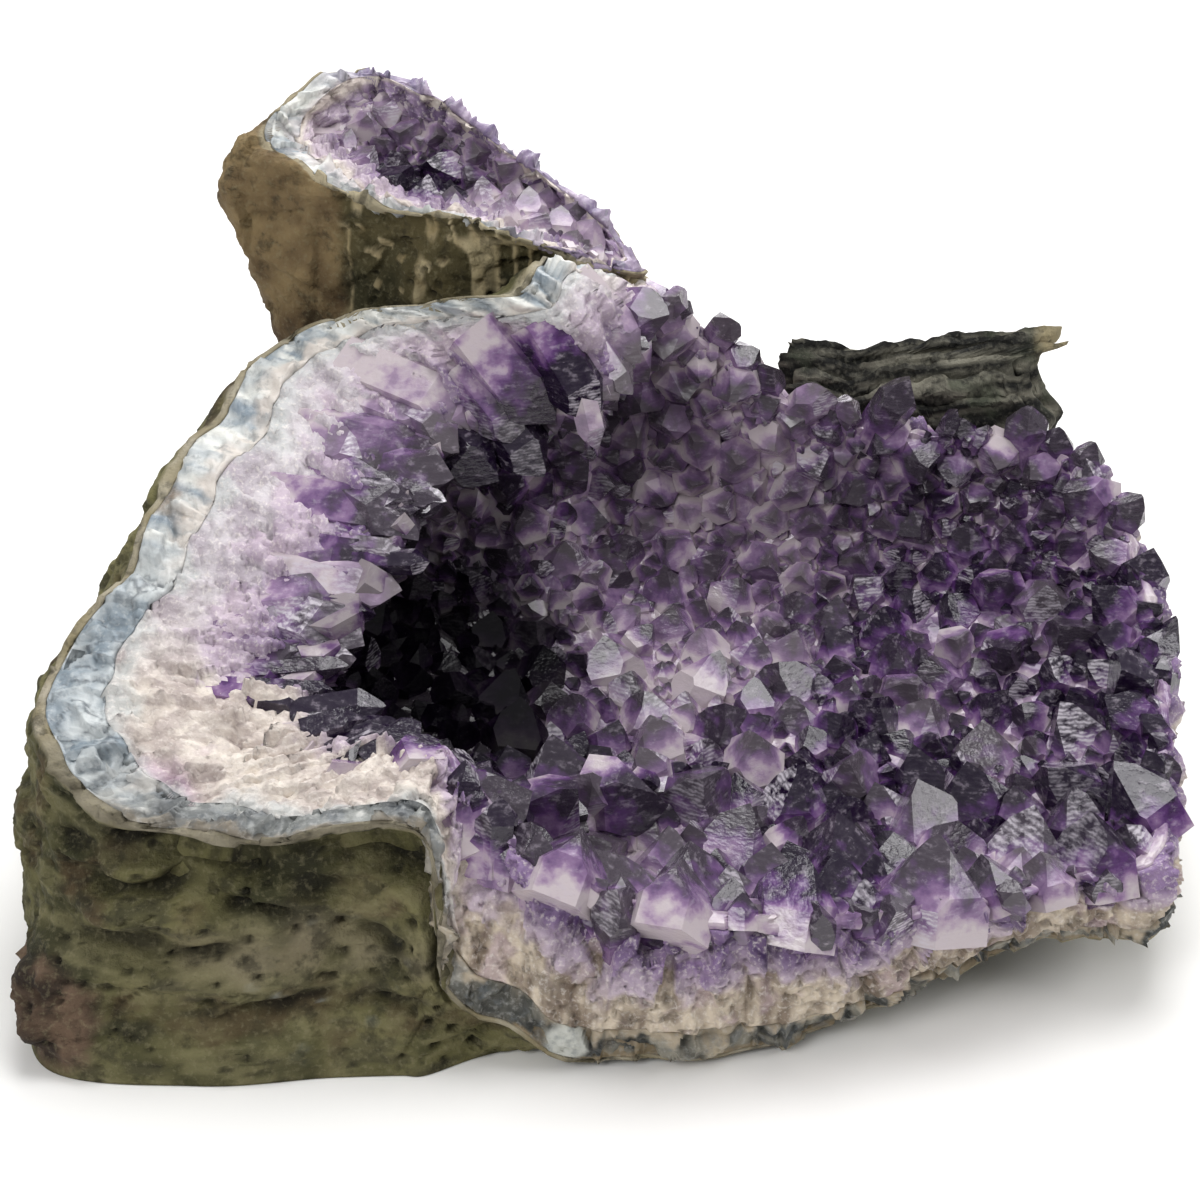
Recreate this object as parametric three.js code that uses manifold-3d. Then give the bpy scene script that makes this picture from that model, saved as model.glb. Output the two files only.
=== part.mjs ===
// One half of a broken amethyst geode, in millimetres, +Z up, open side up and to the front.
// The wall has four layers, as its broken rim shows: a skin of green basalt, a band of
// blue-white agate, massive milky quartz and the crust of amethyst points that lines the hollow.
// It has two bowls grown into one another: the main one, and a small lobe on its far left shoulder.
// A flake of the host rock still sticks to the outside of the back edge.
//
// Every point of a wall is P(u, v, w). u runs round the rim, one unit for each station below.
// v runs from the middle of the floor (0) out to the broken rim (1). w runs through the wall,
// from the outside of the rock (0) to the face that the crystals root in (1).
import * as THREE from "three";
import { mergeVertices } from "three/addons/utils/BufferGeometryUtils.js";
import Module from "manifold-3d";

const wasm = await Module();
wasm.setup();

// Where each layer ends, as a share of the wall's thickness from the outside in.
const ROCK_TO = 0.08;
const AGATE_TO = 0.24;
const QUARTZ_TO = 0.88;
// Left free between two layers, as a share of the wall's thickness (about 0.4 mm).
const SEAM = 0.007;

const FLAT_TO_V = 0.3; // the underside is flat out to here
const CAVE_V = 0.6; // the hollow is deepest under the wall here
const RIM_SWELL = 0.03; // how far the broken rim swells out between its two edges, in v
const FIT = 0.3; // mm left free round anything that is let into another layer

// Rows of points from the middle out: v, and how many points for each station of the rim.
const row = (v, perStation) => ({ v, perStation });
const FINE_ROWS = [
  row(0.3, 1),
  row(0.44, 2),
  row(0.58, 2),
  row(0.7, 2),
  row(0.8, 2),
  row(0.9, 2),
  row(1, 2),
];
const COARSE_ROWS = [row(0.3, 1), row(0.5, 1), row(0.68, 1), row(0.84, 2), row(1, 2)];

// Rows of crystal points over a hollow, from the middle out: v and how many stand in the row.
const points = (v, count) => ({ v, count });
const MAIN_POINTS = [
  points(0.1, 5),
  points(0.22, 11),
  points(0.34, 18),
  points(0.46, 25),
  points(0.58, 31),
  points(0.7, 36),
  points(0.82, 40),
  points(0.93, 42),
];
const LOBE_POINTS = [points(0.4, 6), points(0.8, 13)];
const MEASURE_STEPS = 240; // steps that a hollow's girth is measured in
const CRYSTAL_SEED = 20011;
const UNEVEN = 0.2; // how much higher every other end face of a point starts, in radii
const CRYSTAL_HEIGHT = 12; // mm from the valleys to a tip, before the factors below

// One station of the rim, numbers in mm: the outer edge of the broken rim, the widest point of
// the rock below it, the inner edge of the rim, the wall's thickness, and how far out the
// resting face reaches under the widest point (1 is straight under it).
const station = (outer, belly, inner, wall, foot) => ({ outer, belly, inner, wall, foot });

const MAIN_RIM = [
  station([0, -103, 2], [4, -82, 0], [6, -97, 54], 47, 0.95),
  station([40, -97, 2], [38, -76, 0], [39, -99, 50], 46, 0.9),
  station([74, -88, 7], [68, -66, 2], [71, -96, 48], 44, 0.8),
  station([104, -76, 15], [96, -54, 6], [99, -86, 46], 42, 0.7),
  station([134, -70, 20], [120, -46, 10], [129, -75, 45], 40, 0.65),
  station([161, -66, 22], [144, -40, 14], [155, -64, 47], 40, 0.65),
  station([173, -28, 28], [156, -12, 18], [166, -28, 53], 42, 0.65),
  station([180, 20, 46], [160, 26, 26], [173, 20, 71], 44, 0.7),
  station([176, 68, 72], [156, 74, 40], [166, 64, 95], 46, 0.7),
  station([150, 102, 86], [134, 102, 44], [144, 88, 106], 46, 0.75),
  station([108, 110, 90], [98, 116, 44], [110, 86, 109], 46, 0.75),
  station([68, 116, 98], [58, 128, 48], [72, 88, 113], 46, 0.75),
  station([40, 120, 120], [26, 136, 60], [44, 93, 131], 46, 0.75),
  station([12, 116, 148], [-6, 140, 74], [20, 90, 147], 46, 0.75),
  station([-17, 82, 170], [-44, 132, 90], [12, 76, 137], 58, 0.75),
  station([-27, 68, 166], [-78, 126, 86], [-2, 64, 129], 70, 0.75),
  station([-57, 82, 157], [-104, 118, 80], [-26, 63, 128], 76, 0.75),
  station([-88, 93, 147], [-128, 102, 72], [-47, 54, 120], 78, 0.75),
  station([-113, 84, 134], [-146, 76, 66], [-54, 34, 111], 80, 0.78),
  station([-129, 46, 119], [-154, 40, 58], [-62, 8, 99], 80, 0.8),
  station([-143, 0, 101], [-161, 0, 50], [-76, -14, 87], 76, 0.85),
  station([-158, -32, 86], [-168, -34, 44], [-79, -34, 80], 72, 0.9),
  station([-152, -60, 80], [-163, -64, 42], [-67, -47, 78], 72, 0.97),
  station([-131, -84, 71], [-142, -94, 38], [-58, -52, 78], 70, 1.04),
  station([-97, -93, 68], [-98, -97, 38], [-51, -55, 78], 66, 1.08),
  station([-70, -90, 71], [-68, -95, 36], [-46, -58, 78], 62, 1.09),
  station([-48, -94, 71], [-52, -98, 32], [-42, -61, 78], 58, 1.07),
  station([-44, -99, 46], [-46, -101, 20], [-36, -70, 76], 54, 1.04),
  station([-40, -101, 25], [-34, -98, 8], [-26, -80, 69], 50, 1.0),
  station([-18, -103, 9], [-14, -92, 1], [-10, -91, 61], 48, 0.98),
];

const LOBE_RIM = [
  station([16, 112, 158], [15, 128, 98], [2, 109, 161], 0, 0.45),
  station([-4, 132, 176], [4, 152, 96], [-8, 126, 170], 0, 0.45),
  station([-30, 150, 191], [-26, 168, 108], [-32, 144, 183], 0, 0.45),
  station([-58, 160, 205], [-60, 176, 124], [-56, 153, 194], 0, 0.45),
  station([-86, 160, 212], [-96, 172, 140], [-74, 155, 200], 0, 0.45),
  station([-106, 146, 203], [-118, 156, 150], [-84, 152, 196], 0, 0.45),
  station([-111, 134, 194], [-122, 132, 162], [-88, 145, 191], 0, 0.45),
  station([-100, 124, 190], [-110, 120, 158], [-82, 137, 187], 0, 0.45),
  station([-84, 108, 185], [-86, 112, 150], [-70, 128, 181], 0, 0.45),
  station([-70, 101, 180], [-68, 108, 146], [-58, 122, 178], 0, 0.45),
  station([-44, 90, 181], [-46, 98, 142], [-38, 112, 176], 0, 0.45),
  station([-20, 86, 174], [-18, 108, 120], [-6, 104, 166], 0, 0.45),
];

// Lumps (positive) and hollows (negative) of the rock skin: centre, radius and height in mm.
const ROCK_LUMPS = [
  { at: [-158, -92, 18], radius: 16, height: 6 },
  { at: [-146, -97, 10], radius: 13, height: 5 },
  { at: [-117, -97, 54], radius: 15, height: -5 },
  { at: [-150, -92, 50], radius: 13, height: -4 },
  { at: [-64, -98, 46], radius: 17, height: -5 },
  { at: [-118, -100, 22], radius: 24, height: 3 },
  { at: [-150, 60, 70], radius: 30, height: 5 },
  { at: [-120, 110, 60], radius: 34, height: -4 },
  { at: [20, 134, 60], radius: 32, height: 5 },
  { at: [120, 106, 40], radius: 30, height: -4 },
  { at: [164, 40, 30], radius: 26, height: 4 },
  { at: [-60, 120, 40], radius: 30, height: 5 },
];

const vector = (xyz) => new THREE.Vector3(...xyz);
const mix = (a, b, share) => a.clone().lerp(b, share);

// Uniform Catmull-Rom curve, closed, through one field of the stations.
function around(stations, field, u) {
  const count = stations.length;
  const first = Math.floor(u);
  const f = u - first;
  const [a, b, c, d] = [-1, 0, 1, 2].map((k) => stations[(first + k + count) % count][field]);
  const curve = (p, q, r, s) =>
    q + 0.5 * f * (r - p + f * (2 * p - 5 * q + 4 * r - s + f * (3 * (q - r) + s - p)));
  if (typeof a === "number") return curve(a, b, c, d);
  return new THREE.Vector3(...[0, 1, 2].map((k) => curve(a[k], b[k], c[k], d[k])));
}

// The parabola through three points, at t = 0, at t = middle and at t = 1.
function parabola(start, between, end, middle, t) {
  const bend = start.clone().multiplyScalar(((t - middle) * (t - 1)) / middle);
  bend.addScaledVector(between, (t * (t - 1)) / (middle * (middle - 1)));
  return bend.addScaledVector(end, (t * (t - middle)) / (1 - middle));
}

// Uneven surface of broken basalt, mm: three waves that don't line up, and the lumps.
function rockRelief(point) {
  const { x, y, z } = point;
  let height = 1.7 * Math.sin(x / 9.7 + y / 15.1) * Math.sin(z / 11.3 - y / 18.7);
  height += 1.1 * Math.sin(x / 5.9 - z / 7.3 + 1.3) * Math.sin(y / 6.7 + z / 9.1);
  for (const lump of ROCK_LUMPS) {
    const away = point.distanceTo(vector(lump.at)) / lump.radius;
    height += lump.height * Math.exp(-away * away);
  }
  return height;
}

// Uneven face that the crystals root in, mm.
function bedRelief(point) {
  const { x, y, z } = point;
  return 2.2 * Math.sin(x / 17 + 0.8) * Math.sin(y / 14 - z / 23);
}

class Bowl {
  constructor(stations, base, floor, focus) {
    this.stations = stations;
    this.base = vector(base); // middle of the underside
    this.floor = vector(floor); // middle of the hollow's floor
    this.focus = focus && vector(focus); // the wall's thickness is measured towards this point
    this.lengths = this.measureRound(0.75);
  }

  // How far round the hollow it is to each of many even steps of u, in mm, at one v.
  measureRound(v) {
    const lengths = [0];
    for (let k = 0; k < MEASURE_STEPS; k += 1) {
      const [from, to] = [k, k + 1].map((step) => this.inner(this.uOfStep(step), v));
      lengths.push(lengths[k] + from.distanceTo(to));
    }
    return lengths;
  }

  uOfStep(step) {
    return (step * this.stations.length) / MEASURE_STEPS;
  }

  // The u that lies a share of the way round the hollow, by length.
  evenU(share) {
    const wanted = share * this.lengths.at(-1);
    const after = this.lengths.findIndex((length) => length > wanted);
    const [low, high] = [this.lengths[after - 1], this.lengths[after]];
    return this.uOfStep(after - 1 + (wanted - low) / (high - low));
  }

  // Outside of the rock, before its relief: flat underside, then a parabola up to the rim.
  outer(u, v) {
    const belly = around(this.stations, "belly", u);
    const foot = mix(this.base, belly, around(this.stations, "foot", u)).setZ(this.base.z);
    if (v <= FLAT_TO_V) return mix(this.base, foot, v / FLAT_TO_V);
    const t = (v - FLAT_TO_V) / (1 - FLAT_TO_V);
    const point = parabola(foot, belly, around(this.stations, "outer", u), 0.5, t);
    return point.setZ(Math.max(this.base.z, point.z));
  }

  // The point where the hollow reaches furthest into the wall.
  cave(u) {
    const belly = around(this.stations, "belly", u);
    if (this.focus) {
      const inwards = this.focus.clone().sub(belly).normalize();
      return belly.addScaledVector(inwards, around(this.stations, "wall", u));
    }
    const rim = around(this.stations, "inner", u);
    return mix(this.floor, rim, 0.62).setZ(this.floor.z + 0.3 * (rim.z - this.floor.z));
  }

  // The face that the crystals root in: level in the middle, then up through the cave to the rim.
  inner(u, v) {
    const rim = around(this.stations, "inner", u);
    const cave = this.cave(u);
    const point = parabola(this.floor, cave, rim, CAVE_V, v);
    const caveRise = cave.z - this.floor.z;
    const rimRise = rim.z - this.floor.z;
    const square = (caveRise - CAVE_V ** 3 * rimRise) / (CAVE_V ** 2 - CAVE_V ** 3);
    return point.setZ(this.floor.z + square * v ** 2 + (rimRise - square) * v ** 3);
  }

  // P(u, v, w), with the relief of the rock and of the crystal bed.
  at(u, v, w) {
    const outside = this.outer(u, v);
    const inside = this.inner(u, v);
    const through = inside.clone().sub(outside).normalize();
    const fromFloor = THREE.MathUtils.smoothstep(v, FLAT_TO_V, 0.5);
    const rough = rockRelief(outside) * fromFloor;
    outside.addScaledVector(through, -rough);
    outside.z = Math.max(this.base.z, outside.z);
    inside.addScaledVector(through, bedRelief(inside) * (1 - v ** 4));
    return mix(outside, inside, w);
  }

  // The direction into the hollow at a point of the root face.
  intoHollow(u, v) {
    const step = 0.02;
    const alongRim = this.at(u + step, v, 1).sub(this.at(u - step, v, 1));
    const outwards = this.at(u, v + step, 1).sub(this.at(u, v - step, 1));
    return outwards.cross(alongRim).normalize();
  }
}

const mainBowl = new Bowl(MAIN_RIM, [0, 10, 0], [34, -4, 46], [30, 0, 95]);
const lobeBowl = new Bowl(LOBE_RIM, [-40, 102, 40], [-46, 136, 176], null);

function solidOf(places, faces) {
  const geometry = new THREE.BufferGeometry().setFromPoints(places);
  geometry.setIndex(faces.flat());
  return manifoldOf(geometry);
}

function manifoldOf(geometry) {
  const bare = geometry.clone();
  bare.deleteAttribute("normal");
  bare.deleteAttribute("uv");
  const merged = mergeVertices(bare, 1e-4);
  return new wasm.Manifold(
    new wasm.Mesh({
      numProp: 3,
      vertProperties: new Float32Array(merged.attributes.position.array),
      triVerts: new Uint32Array(merged.index.array),
    }),
  );
}

// Triangles between two closed rings, whose points may differ in number, matched by their u.
// Where both could go on, the ring further out does, so that the facing sides of two layers are
// cut up alike.
function stitched(near, far, turn) {
  const faces = [];
  const nearIsOutside = near[0].v > far[0].v;
  const place = (ring, i) => ring[i % ring.length];
  const uOf = (ring, i) => place(ring, i).u + (i >= ring.length ? turn : 0);
  let i = 0;
  let j = 0;
  while (i < near.length || j < far.length) {
    const ahead = uOf(far, j + 1) - uOf(near, i + 1);
    const nearGoes = ahead > 0 || (ahead === 0 && nearIsOutside);
    const nearFirst = j === far.length || (i < near.length && nearGoes);
    const third = nearFirst ? place(near, i + 1) : place(far, j + 1);
    faces.push([place(near, i).index, third.index, place(far, j).index]);
    if (nearFirst) i += 1;
    else j += 1;
  }
  return faces;
}

// Joins rings of points, from a first single point to a last single point, into one closed solid.
function closedRings(firstPoint, rings, lastPoint, turn) {
  const places = [firstPoint];
  for (const ring of rings) {
    for (const entry of ring) {
      entry.index = places.length;
      places.push(entry.point);
    }
  }
  const last = places.push(lastPoint) - 1;
  const faces = rings.slice(1).flatMap((ring, k) => stitched(rings[k], ring, turn));
  const fan = (ring, tip, outwards) =>
    ring.forEach((entry, i) => {
      const next = ring[(i + 1) % ring.length];
      faces.push(outwards ? [tip, next.index, entry.index] : [tip, entry.index, next.index]);
    });
  fan(rings[0], 0, true);
  fan(rings.at(-1), last, false);
  return solidOf(places, faces);
}

// A ring of a bowl's wall at one row, evenly spaced in u.
function ringAt(bowl, { v, perStation }, w) {
  const swell = 1 + RIM_SWELL * 4 * Math.max(0, w * (1 - w));
  return Array.from({ length: bowl.stations.length * perStation }, (_, i) => {
    const u = i / perStation;
    return { u, v, point: bowl.at(u, v === 1 ? swell : v, w) };
  });
}

// The part of a bowl's wall between two shares of its thickness.
function wallBetween(bowl, fromW, toW, outerRows, innerRows) {
  const rimShares = [AGATE_TO, (AGATE_TO + QUARTZ_TO) / 2].filter(
    (w) => w > fromW + SEAM && w < toW - SEAM,
  );
  const rings = [
    ...outerRows.map((each) => ringAt(bowl, each, fromW)),
    ...rimShares.map((w) => ringAt(bowl, row(1, 2), w)),
    ...innerRows.toReversed().map((each) => ringAt(bowl, each, toW)),
  ];
  return closedRings(bowl.at(0, 0, fromW), rings, bowl.at(0, 0, toW), bowl.stations.length);
}

// One layer of both bowls, each less what the layers further in of the other take up.
function layer(fromW, toW, outerRows) {
  const bowls = [mainBowl, lobeBowl];
  const shells = bowls.map((bowl) => wallBetween(bowl, fromW, toW, outerRows, COARSE_ROWS));
  const within = bowls.map((bowl) => wallBetween(bowl, toW, 1, COARSE_ROWS, COARSE_ROWS));
  return shells[0].subtract(within[1]).add(shells[1].subtract(within[0]));
}

// Repeatable random numbers from 0 to 1.
function makeRandom(seed) {
  let state = seed;
  return () => {
    state = (state * 16807) % 2147483647;
    return state / 2147483647;
  };
}

// One quartz point along +Z with its foot at z = -sink: a hexagonal prism whose six end faces
// meet it at 52 degrees to the level, every other one a little higher.
function quartzPoint(radius, shaft, sink) {
  const corner = (k, z) => {
    const angle = (k * Math.PI) / 3;
    return new THREE.Vector3(radius * Math.cos(angle), radius * Math.sin(angle), z);
  };
  const apothem = radius * Math.cos(Math.PI / 6);
  const tip = shaft + apothem * Math.tan(THREE.MathUtils.degToRad(51.8));
  const sides = [0, 1, 2, 3, 4, 5];
  const places = [
    ...sides.map((k) => corner(k, -sink)),
    ...sides.map((k) => corner(k, shaft + (k % 2) * UNEVEN * radius)),
    new THREE.Vector3(0, 0, tip),
    new THREE.Vector3(0, 0, -sink),
  ];
  const faces = sides.flatMap((k) => {
    const next = (k + 1) % 6;
    return [[13, next, k], [k, next, 6 + next], [k, 6 + next, 6 + k], [6 + k, 6 + next, 12]];
  });
  return { places, faces };
}

// Sets a quartz point at a place, along a direction, turned about itself and pressed flat a bit.
function placePoint(crystal, place, along, turn, flatness) {
  const lean = new THREE.Quaternion().setFromUnitVectors(new THREE.Vector3(0, 0, 1), along);
  const pose = new THREE.Matrix4().makeTranslation(place);
  pose.multiply(new THREE.Matrix4().makeRotationFromQuaternion(lean));
  pose.multiply(new THREE.Matrix4().makeRotationZ(turn));
  pose.multiply(new THREE.Matrix4().makeScale(1, flatness, 1));
  return solidOf(
    crystal.places.map((each) => each.clone().applyMatrix4(pose)),
    crystal.faces,
  );
}

// How tall the crystals are at a place of the hollow: tallest at the front, low at the back.
function heightAt(place) {
  const front = THREE.MathUtils.clamp((60 - place.y) / 130, 0, 1);
  return CRYSTAL_HEIGHT * (0.75 + 0.45 * front);
}

// A ring of crystal points: every other place is a tip, and the places between are valleys. A
// ring with no tips is all valley, and parts two rows of crystals.
function crystalRing(bowl, v, places, hasTips, random) {
  return Array.from({ length: places }, (_, i) => {
    const [aside, outwards, height] = [random() - 0.5, random() - 0.5, random()];
    const u = bowl.evenU((i + 0.5 + 0.6 * aside) / places);
    const rowV = Math.min(0.985, v + 0.045 * outwards);
    const point = bowl.at(u, rowV, 1);
    const isTip = hasTips && i % 2 === 1;
    const rise = isTip ? heightAt(point) * (0.7 + 0.6 * height) : 1.5 * height;
    return { u, v: rowV, point: point.addScaledVector(bowl.intoHollow(u, rowV), rise) };
  });
}

// The bed of crystals of one bowl: a crust on the quartz whose inner face is close-set points.
function crystalBed(bowl, tipRows, seed) {
  const random = makeRandom(seed);
  const rings = [];
  let previous = { v: 0, count: 2 };
  for (const each of tipRows) {
    const valleys = previous.count + each.count;
    rings.push(crystalRing(bowl, (previous.v + each.v) / 2, valleys, false, random));
    rings.push(crystalRing(bowl, each.v, 2 * each.count, true, random));
    previous = each;
  }
  const fromW = QUARTZ_TO + SEAM;
  const wall = COARSE_ROWS.map((each) => ringAt(bowl, each, fromW));
  const rim = ringAt(bowl, row(1, 2), 1);
  const middle = bowl.at(0, 0, 1).addScaledVector(bowl.intoHollow(0, 0.05), CRYSTAL_HEIGHT);
  const all = [...wall, rim, ...rings.toReversed()];
  return closedRings(bowl.at(0, 0, fromW), all, middle, bowl.stations.length);
}

// The long pale crystals that lie across the top of the wall and on the neck between the two
// bowls, hand placed: foot, where each points to, radius and length in mm.
const RIM_CRYSTALS = [
  { foot: [-74, 66, 130], aim: [-52, 44, 112], radius: 13, length: 34 },
  { foot: [-52, 68, 138], aim: [-34, 48, 118], radius: 12, length: 30 },
  { foot: [-34, 66, 142], aim: [-20, 48, 122], radius: 12, length: 30 },
  { foot: [-14, 70, 146], aim: [0, 50, 124], radius: 13, length: 34 },
  { foot: [0, 80, 146], aim: [16, 58, 126], radius: 11, length: 30 },
  { foot: [4, 92, 150], aim: [22, 72, 140], radius: 12, length: 26 },
  { foot: [4, 104, 153], aim: [25, 96, 152], radius: 12, length: 24 },
  { foot: [16, 106, 146], aim: [36, 92, 140], radius: 10, length: 22 },
  { foot: [-6, 100, 158], aim: [12, 96, 163], radius: 10, length: 18 },
  { foot: [2, 98, 160], aim: [10, 88, 178], radius: 8, length: 19 },
  { foot: [-4, 108, 160], aim: [-2, 108, 180], radius: 7, length: 16 },
  { foot: [10, 104, 158], aim: [26, 104, 172], radius: 8, length: 19 },
];

// The knot of crystals that the two crusts meet in, on the neck: middle and half sizes in mm.
const NECK_KNOT = { middle: [5, 101, 155], half: [19, 20, 15] };

function neckKnot(grow) {
  const knot = new THREE.IcosahedronGeometry(1, 0);
  knot.scale(...NECK_KNOT.half.map((size) => size + grow));
  knot.translate(...NECK_KNOT.middle);
  return manifoldOf(knot);
}

function rimCrystals(grow) {
  return RIM_CRYSTALS.map((each) => {
    const foot = vector(each.foot);
    const along = vector(each.aim).sub(foot).normalize();
    const radius = each.radius + grow;
    const taper = radius * Math.cos(Math.PI / 6) * Math.tan(THREE.MathUtils.degToRad(51.8));
    const crystal = quartzPoint(radius, each.length - taper + grow, grow);
    return placePoint(crystal, foot, along, 0.4, 0.85);
  });
}

const joined = (solids) => solids.reduce((sum, solid) => sum.add(solid));

function crystalCrust() {
  return joined([
    crystalBed(mainBowl, MAIN_POINTS, CRYSTAL_SEED),
    crystalBed(lobeBowl, LOBE_POINTS, CRYSTAL_SEED + 1),
    ...rimCrystals(0),
    neckKnot(0),
  ]);
}

// Laminae of the host-rock flake, seen from the front: outline in x and z, then near and far y.
const FLAKE_LAMINAE = [
  { outline: [[60, 62], [150, 56], [154, 104], [148, 122], [96, 124], [66, 118]], y: [104, 116] },
  { outline: [[66, 66], [140, 60], [152, 112], [157, 134], [108, 131], [90, 127], [62, 135]],
    y: [111, 121] },
  { outline: [[72, 74], [132, 68], [146, 116], [158, 137], [112, 135], [94, 130], [70, 133]],
    y: [117, 127] },
];

function lamina({ outline, y }) {
  const shape = new THREE.Shape(outline.map(([x, z]) => new THREE.Vector2(x, z)));
  const slab = new THREE.ExtrudeGeometry(shape, { depth: y[1] - y[0], bevelEnabled: false });
  slab.rotateX(Math.PI / 2);
  slab.translate(0, y[1], 0);
  return manifoldOf(slab);
}

function hostRockFlake(others) {
  const grown = wallBetween(mainBowl, -SEAM, 1, FINE_ROWS, COARSE_ROWS);
  const flake = joined(FLAKE_LAMINAE.map(lamina)).subtract(grown);
  return others.reduce((left, other) => left.subtract(other), flake);
}

function addMesh(group, name, solid, look) {
  const mesh = solid.getMesh();
  const geometry = new THREE.BufferGeometry();
  geometry.setAttribute("position", new THREE.BufferAttribute(mesh.vertProperties, 3));
  geometry.setIndex(new THREE.BufferAttribute(mesh.triVerts, 1));
  geometry.computeVertexNormals();
  const part = new THREE.Mesh(geometry, new THREE.MeshStandardMaterial(look));
  part.name = name;
  group.add(part);
}

const crust = crystalCrust();
const letIn = joined([...rimCrystals(FIT), neckKnot(FIT), crust]);
const rock = layer(0, ROCK_TO, FINE_ROWS).subtract(letIn);
const agate = layer(ROCK_TO + SEAM, AGATE_TO, COARSE_ROWS).subtract(letIn);
const quartz = layer(AGATE_TO + SEAM, QUARTZ_TO, COARSE_ROWS).subtract(letIn);
const flake = hostRockFlake([rock, agate, quartz, crust]);

const geode = new THREE.Group();
geode.name = "geode_half";
addMesh(geode, "rock_rind", rock, { color: "#5b5a44", roughness: 0.9, metalness: 0 });
addMesh(geode, "agate_band", agate, { color: "#b9c2c9", roughness: 0.45, metalness: 0 });
addMesh(geode, "milky_quartz", quartz, { color: "#d8cbc6", roughness: 0.6, metalness: 0 });
addMesh(geode, "crystal_crust", crust, { color: "#5f4a7a", roughness: 0.15, metalness: 0 });
addMesh(geode, "basalt_ledge", flake, { color: "#4a4d42", roughness: 0.95, metalness: 0 });

export default geode;
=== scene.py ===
"""Looks of one half of an amethyst geode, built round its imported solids.

The stone is a bowl of layers, and so is the small lobe on its shoulder. Every point of a wall is
P(u, v, w): u runs round the rim, one unit a station; v runs from the middle of the hollow's floor
(0) out to the broken rim (1); w runs through the wall, from the rock's outside (0) to the face
that the crystals root in (1). All shapes are worked out in millimetres on grids of those numbers.
"""

from __future__ import annotations

import logging
import math
from dataclasses import dataclass, field
from enum import Enum
from itertools import product
from typing import NamedTuple

import bpy
import numpy as np
from bpy.types import Material, Node, NodeSocket, NodeTree, Object
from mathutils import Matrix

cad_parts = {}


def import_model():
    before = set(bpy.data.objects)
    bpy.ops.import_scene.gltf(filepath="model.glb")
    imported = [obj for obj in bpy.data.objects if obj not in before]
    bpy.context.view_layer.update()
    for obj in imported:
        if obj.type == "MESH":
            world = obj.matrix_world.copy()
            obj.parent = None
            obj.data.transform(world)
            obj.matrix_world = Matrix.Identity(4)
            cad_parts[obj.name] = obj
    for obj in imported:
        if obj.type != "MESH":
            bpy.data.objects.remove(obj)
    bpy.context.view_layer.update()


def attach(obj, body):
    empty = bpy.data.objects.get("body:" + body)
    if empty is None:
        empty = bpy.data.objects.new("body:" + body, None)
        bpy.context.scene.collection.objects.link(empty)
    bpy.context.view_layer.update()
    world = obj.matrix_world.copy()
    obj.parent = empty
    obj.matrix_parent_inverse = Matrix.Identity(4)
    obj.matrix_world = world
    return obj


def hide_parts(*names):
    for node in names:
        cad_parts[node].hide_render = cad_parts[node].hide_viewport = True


Array = np.ndarray

LOG = logging.getLogger("geode")
MM = 0.001

# Shares of the wall, from the rock's outside inwards, where the layers end on the broken rim.
ROCK_TO = 0.028
AGATE_TO = 0.21
QUARTZ_TO = 0.88
SEAM = 0.002
ROCK_HIDDEN_TO = 0.42  # the rock is thicker where it can't be seen
BORDER_SWAY, BORDER_WIDTH = 0.035, 0.07  # how far and how near the borders wander
FLAT_TO_V = 0.3  # the underside is flat to here
CAVE_V = 0.6  # where the hollow reaches furthest into the wall
RIM_SWELL = 0.03
RIM_WAVES, RIM_FACETS = 2.4, 5.5  # relief of the broken rim, in mm
BARE_CORNER = (20.6, 21.6, 26.4, 27.2)  # places u between which points keep off the rim
RHOMB_SLOPE = math.tan(math.radians(51.8))  # quartz end faces lean 51.8 degrees
CAVE_AT, CAVE_RADII = (-44, 16, 64), (44, 52, 44)  # where painted shade darkens the crystals under the left wall, in mm


class Stretch(Enum):
    """Stretches of a rim that look alike: first and last place u, and how soft the ends are."""

    LEFT_WALL = (13.5, 20.6, 0.8)
    BLUE_PATCH = (19.9, 22.6, 0.35)
    CREAM_CORNER = (21.2, 26.2, 0.9)
    ROCK_LIP = (22.2, 28.2, 0.35)
    UNDER_LIP = (22.4, 27.6, 0.35)
    GREY_LIP = (22.8, 26.6, 0.35)
    STEP_DOWN = (26.5, 28.0, 0.35)
    FRONT_CUT = (27.6, 36.0, 0.6)
    DARK_CUT = (27.9, 35.8, 0.35)
    LOBE_LIP = (7.6, 12.4, 0.35)
    LOBE_NECK = (-1.2, 4.2, 0.6)


# ---------------------------------------------------------------- noise


def hashed(ix: Array, iy: Array, iz: Array, seed: int) -> Array:
    """Gives each lattice place a fixed number from 0 to 1.

    Args:
        ix: whole x places.
        iy: whole y places.
        iz: whole z places.
        seed: picks another set of numbers.

    Returns:
        An array of the same shape.
    """
    h = (ix * 73856093) ^ (iy * 19349663) ^ (iz * 83492791) ^ (seed * 2654435761)
    h = h & 0x7FFFFFFF
    h = ((h >> 13) ^ h) * 1274126177 & 0x7FFFFFFF
    h = ((h >> 16) ^ h) * 668265263 & 0x7FFFFFFF
    return ((h >> 7) & 0xFFFFF) / float(0xFFFFF)


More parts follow.
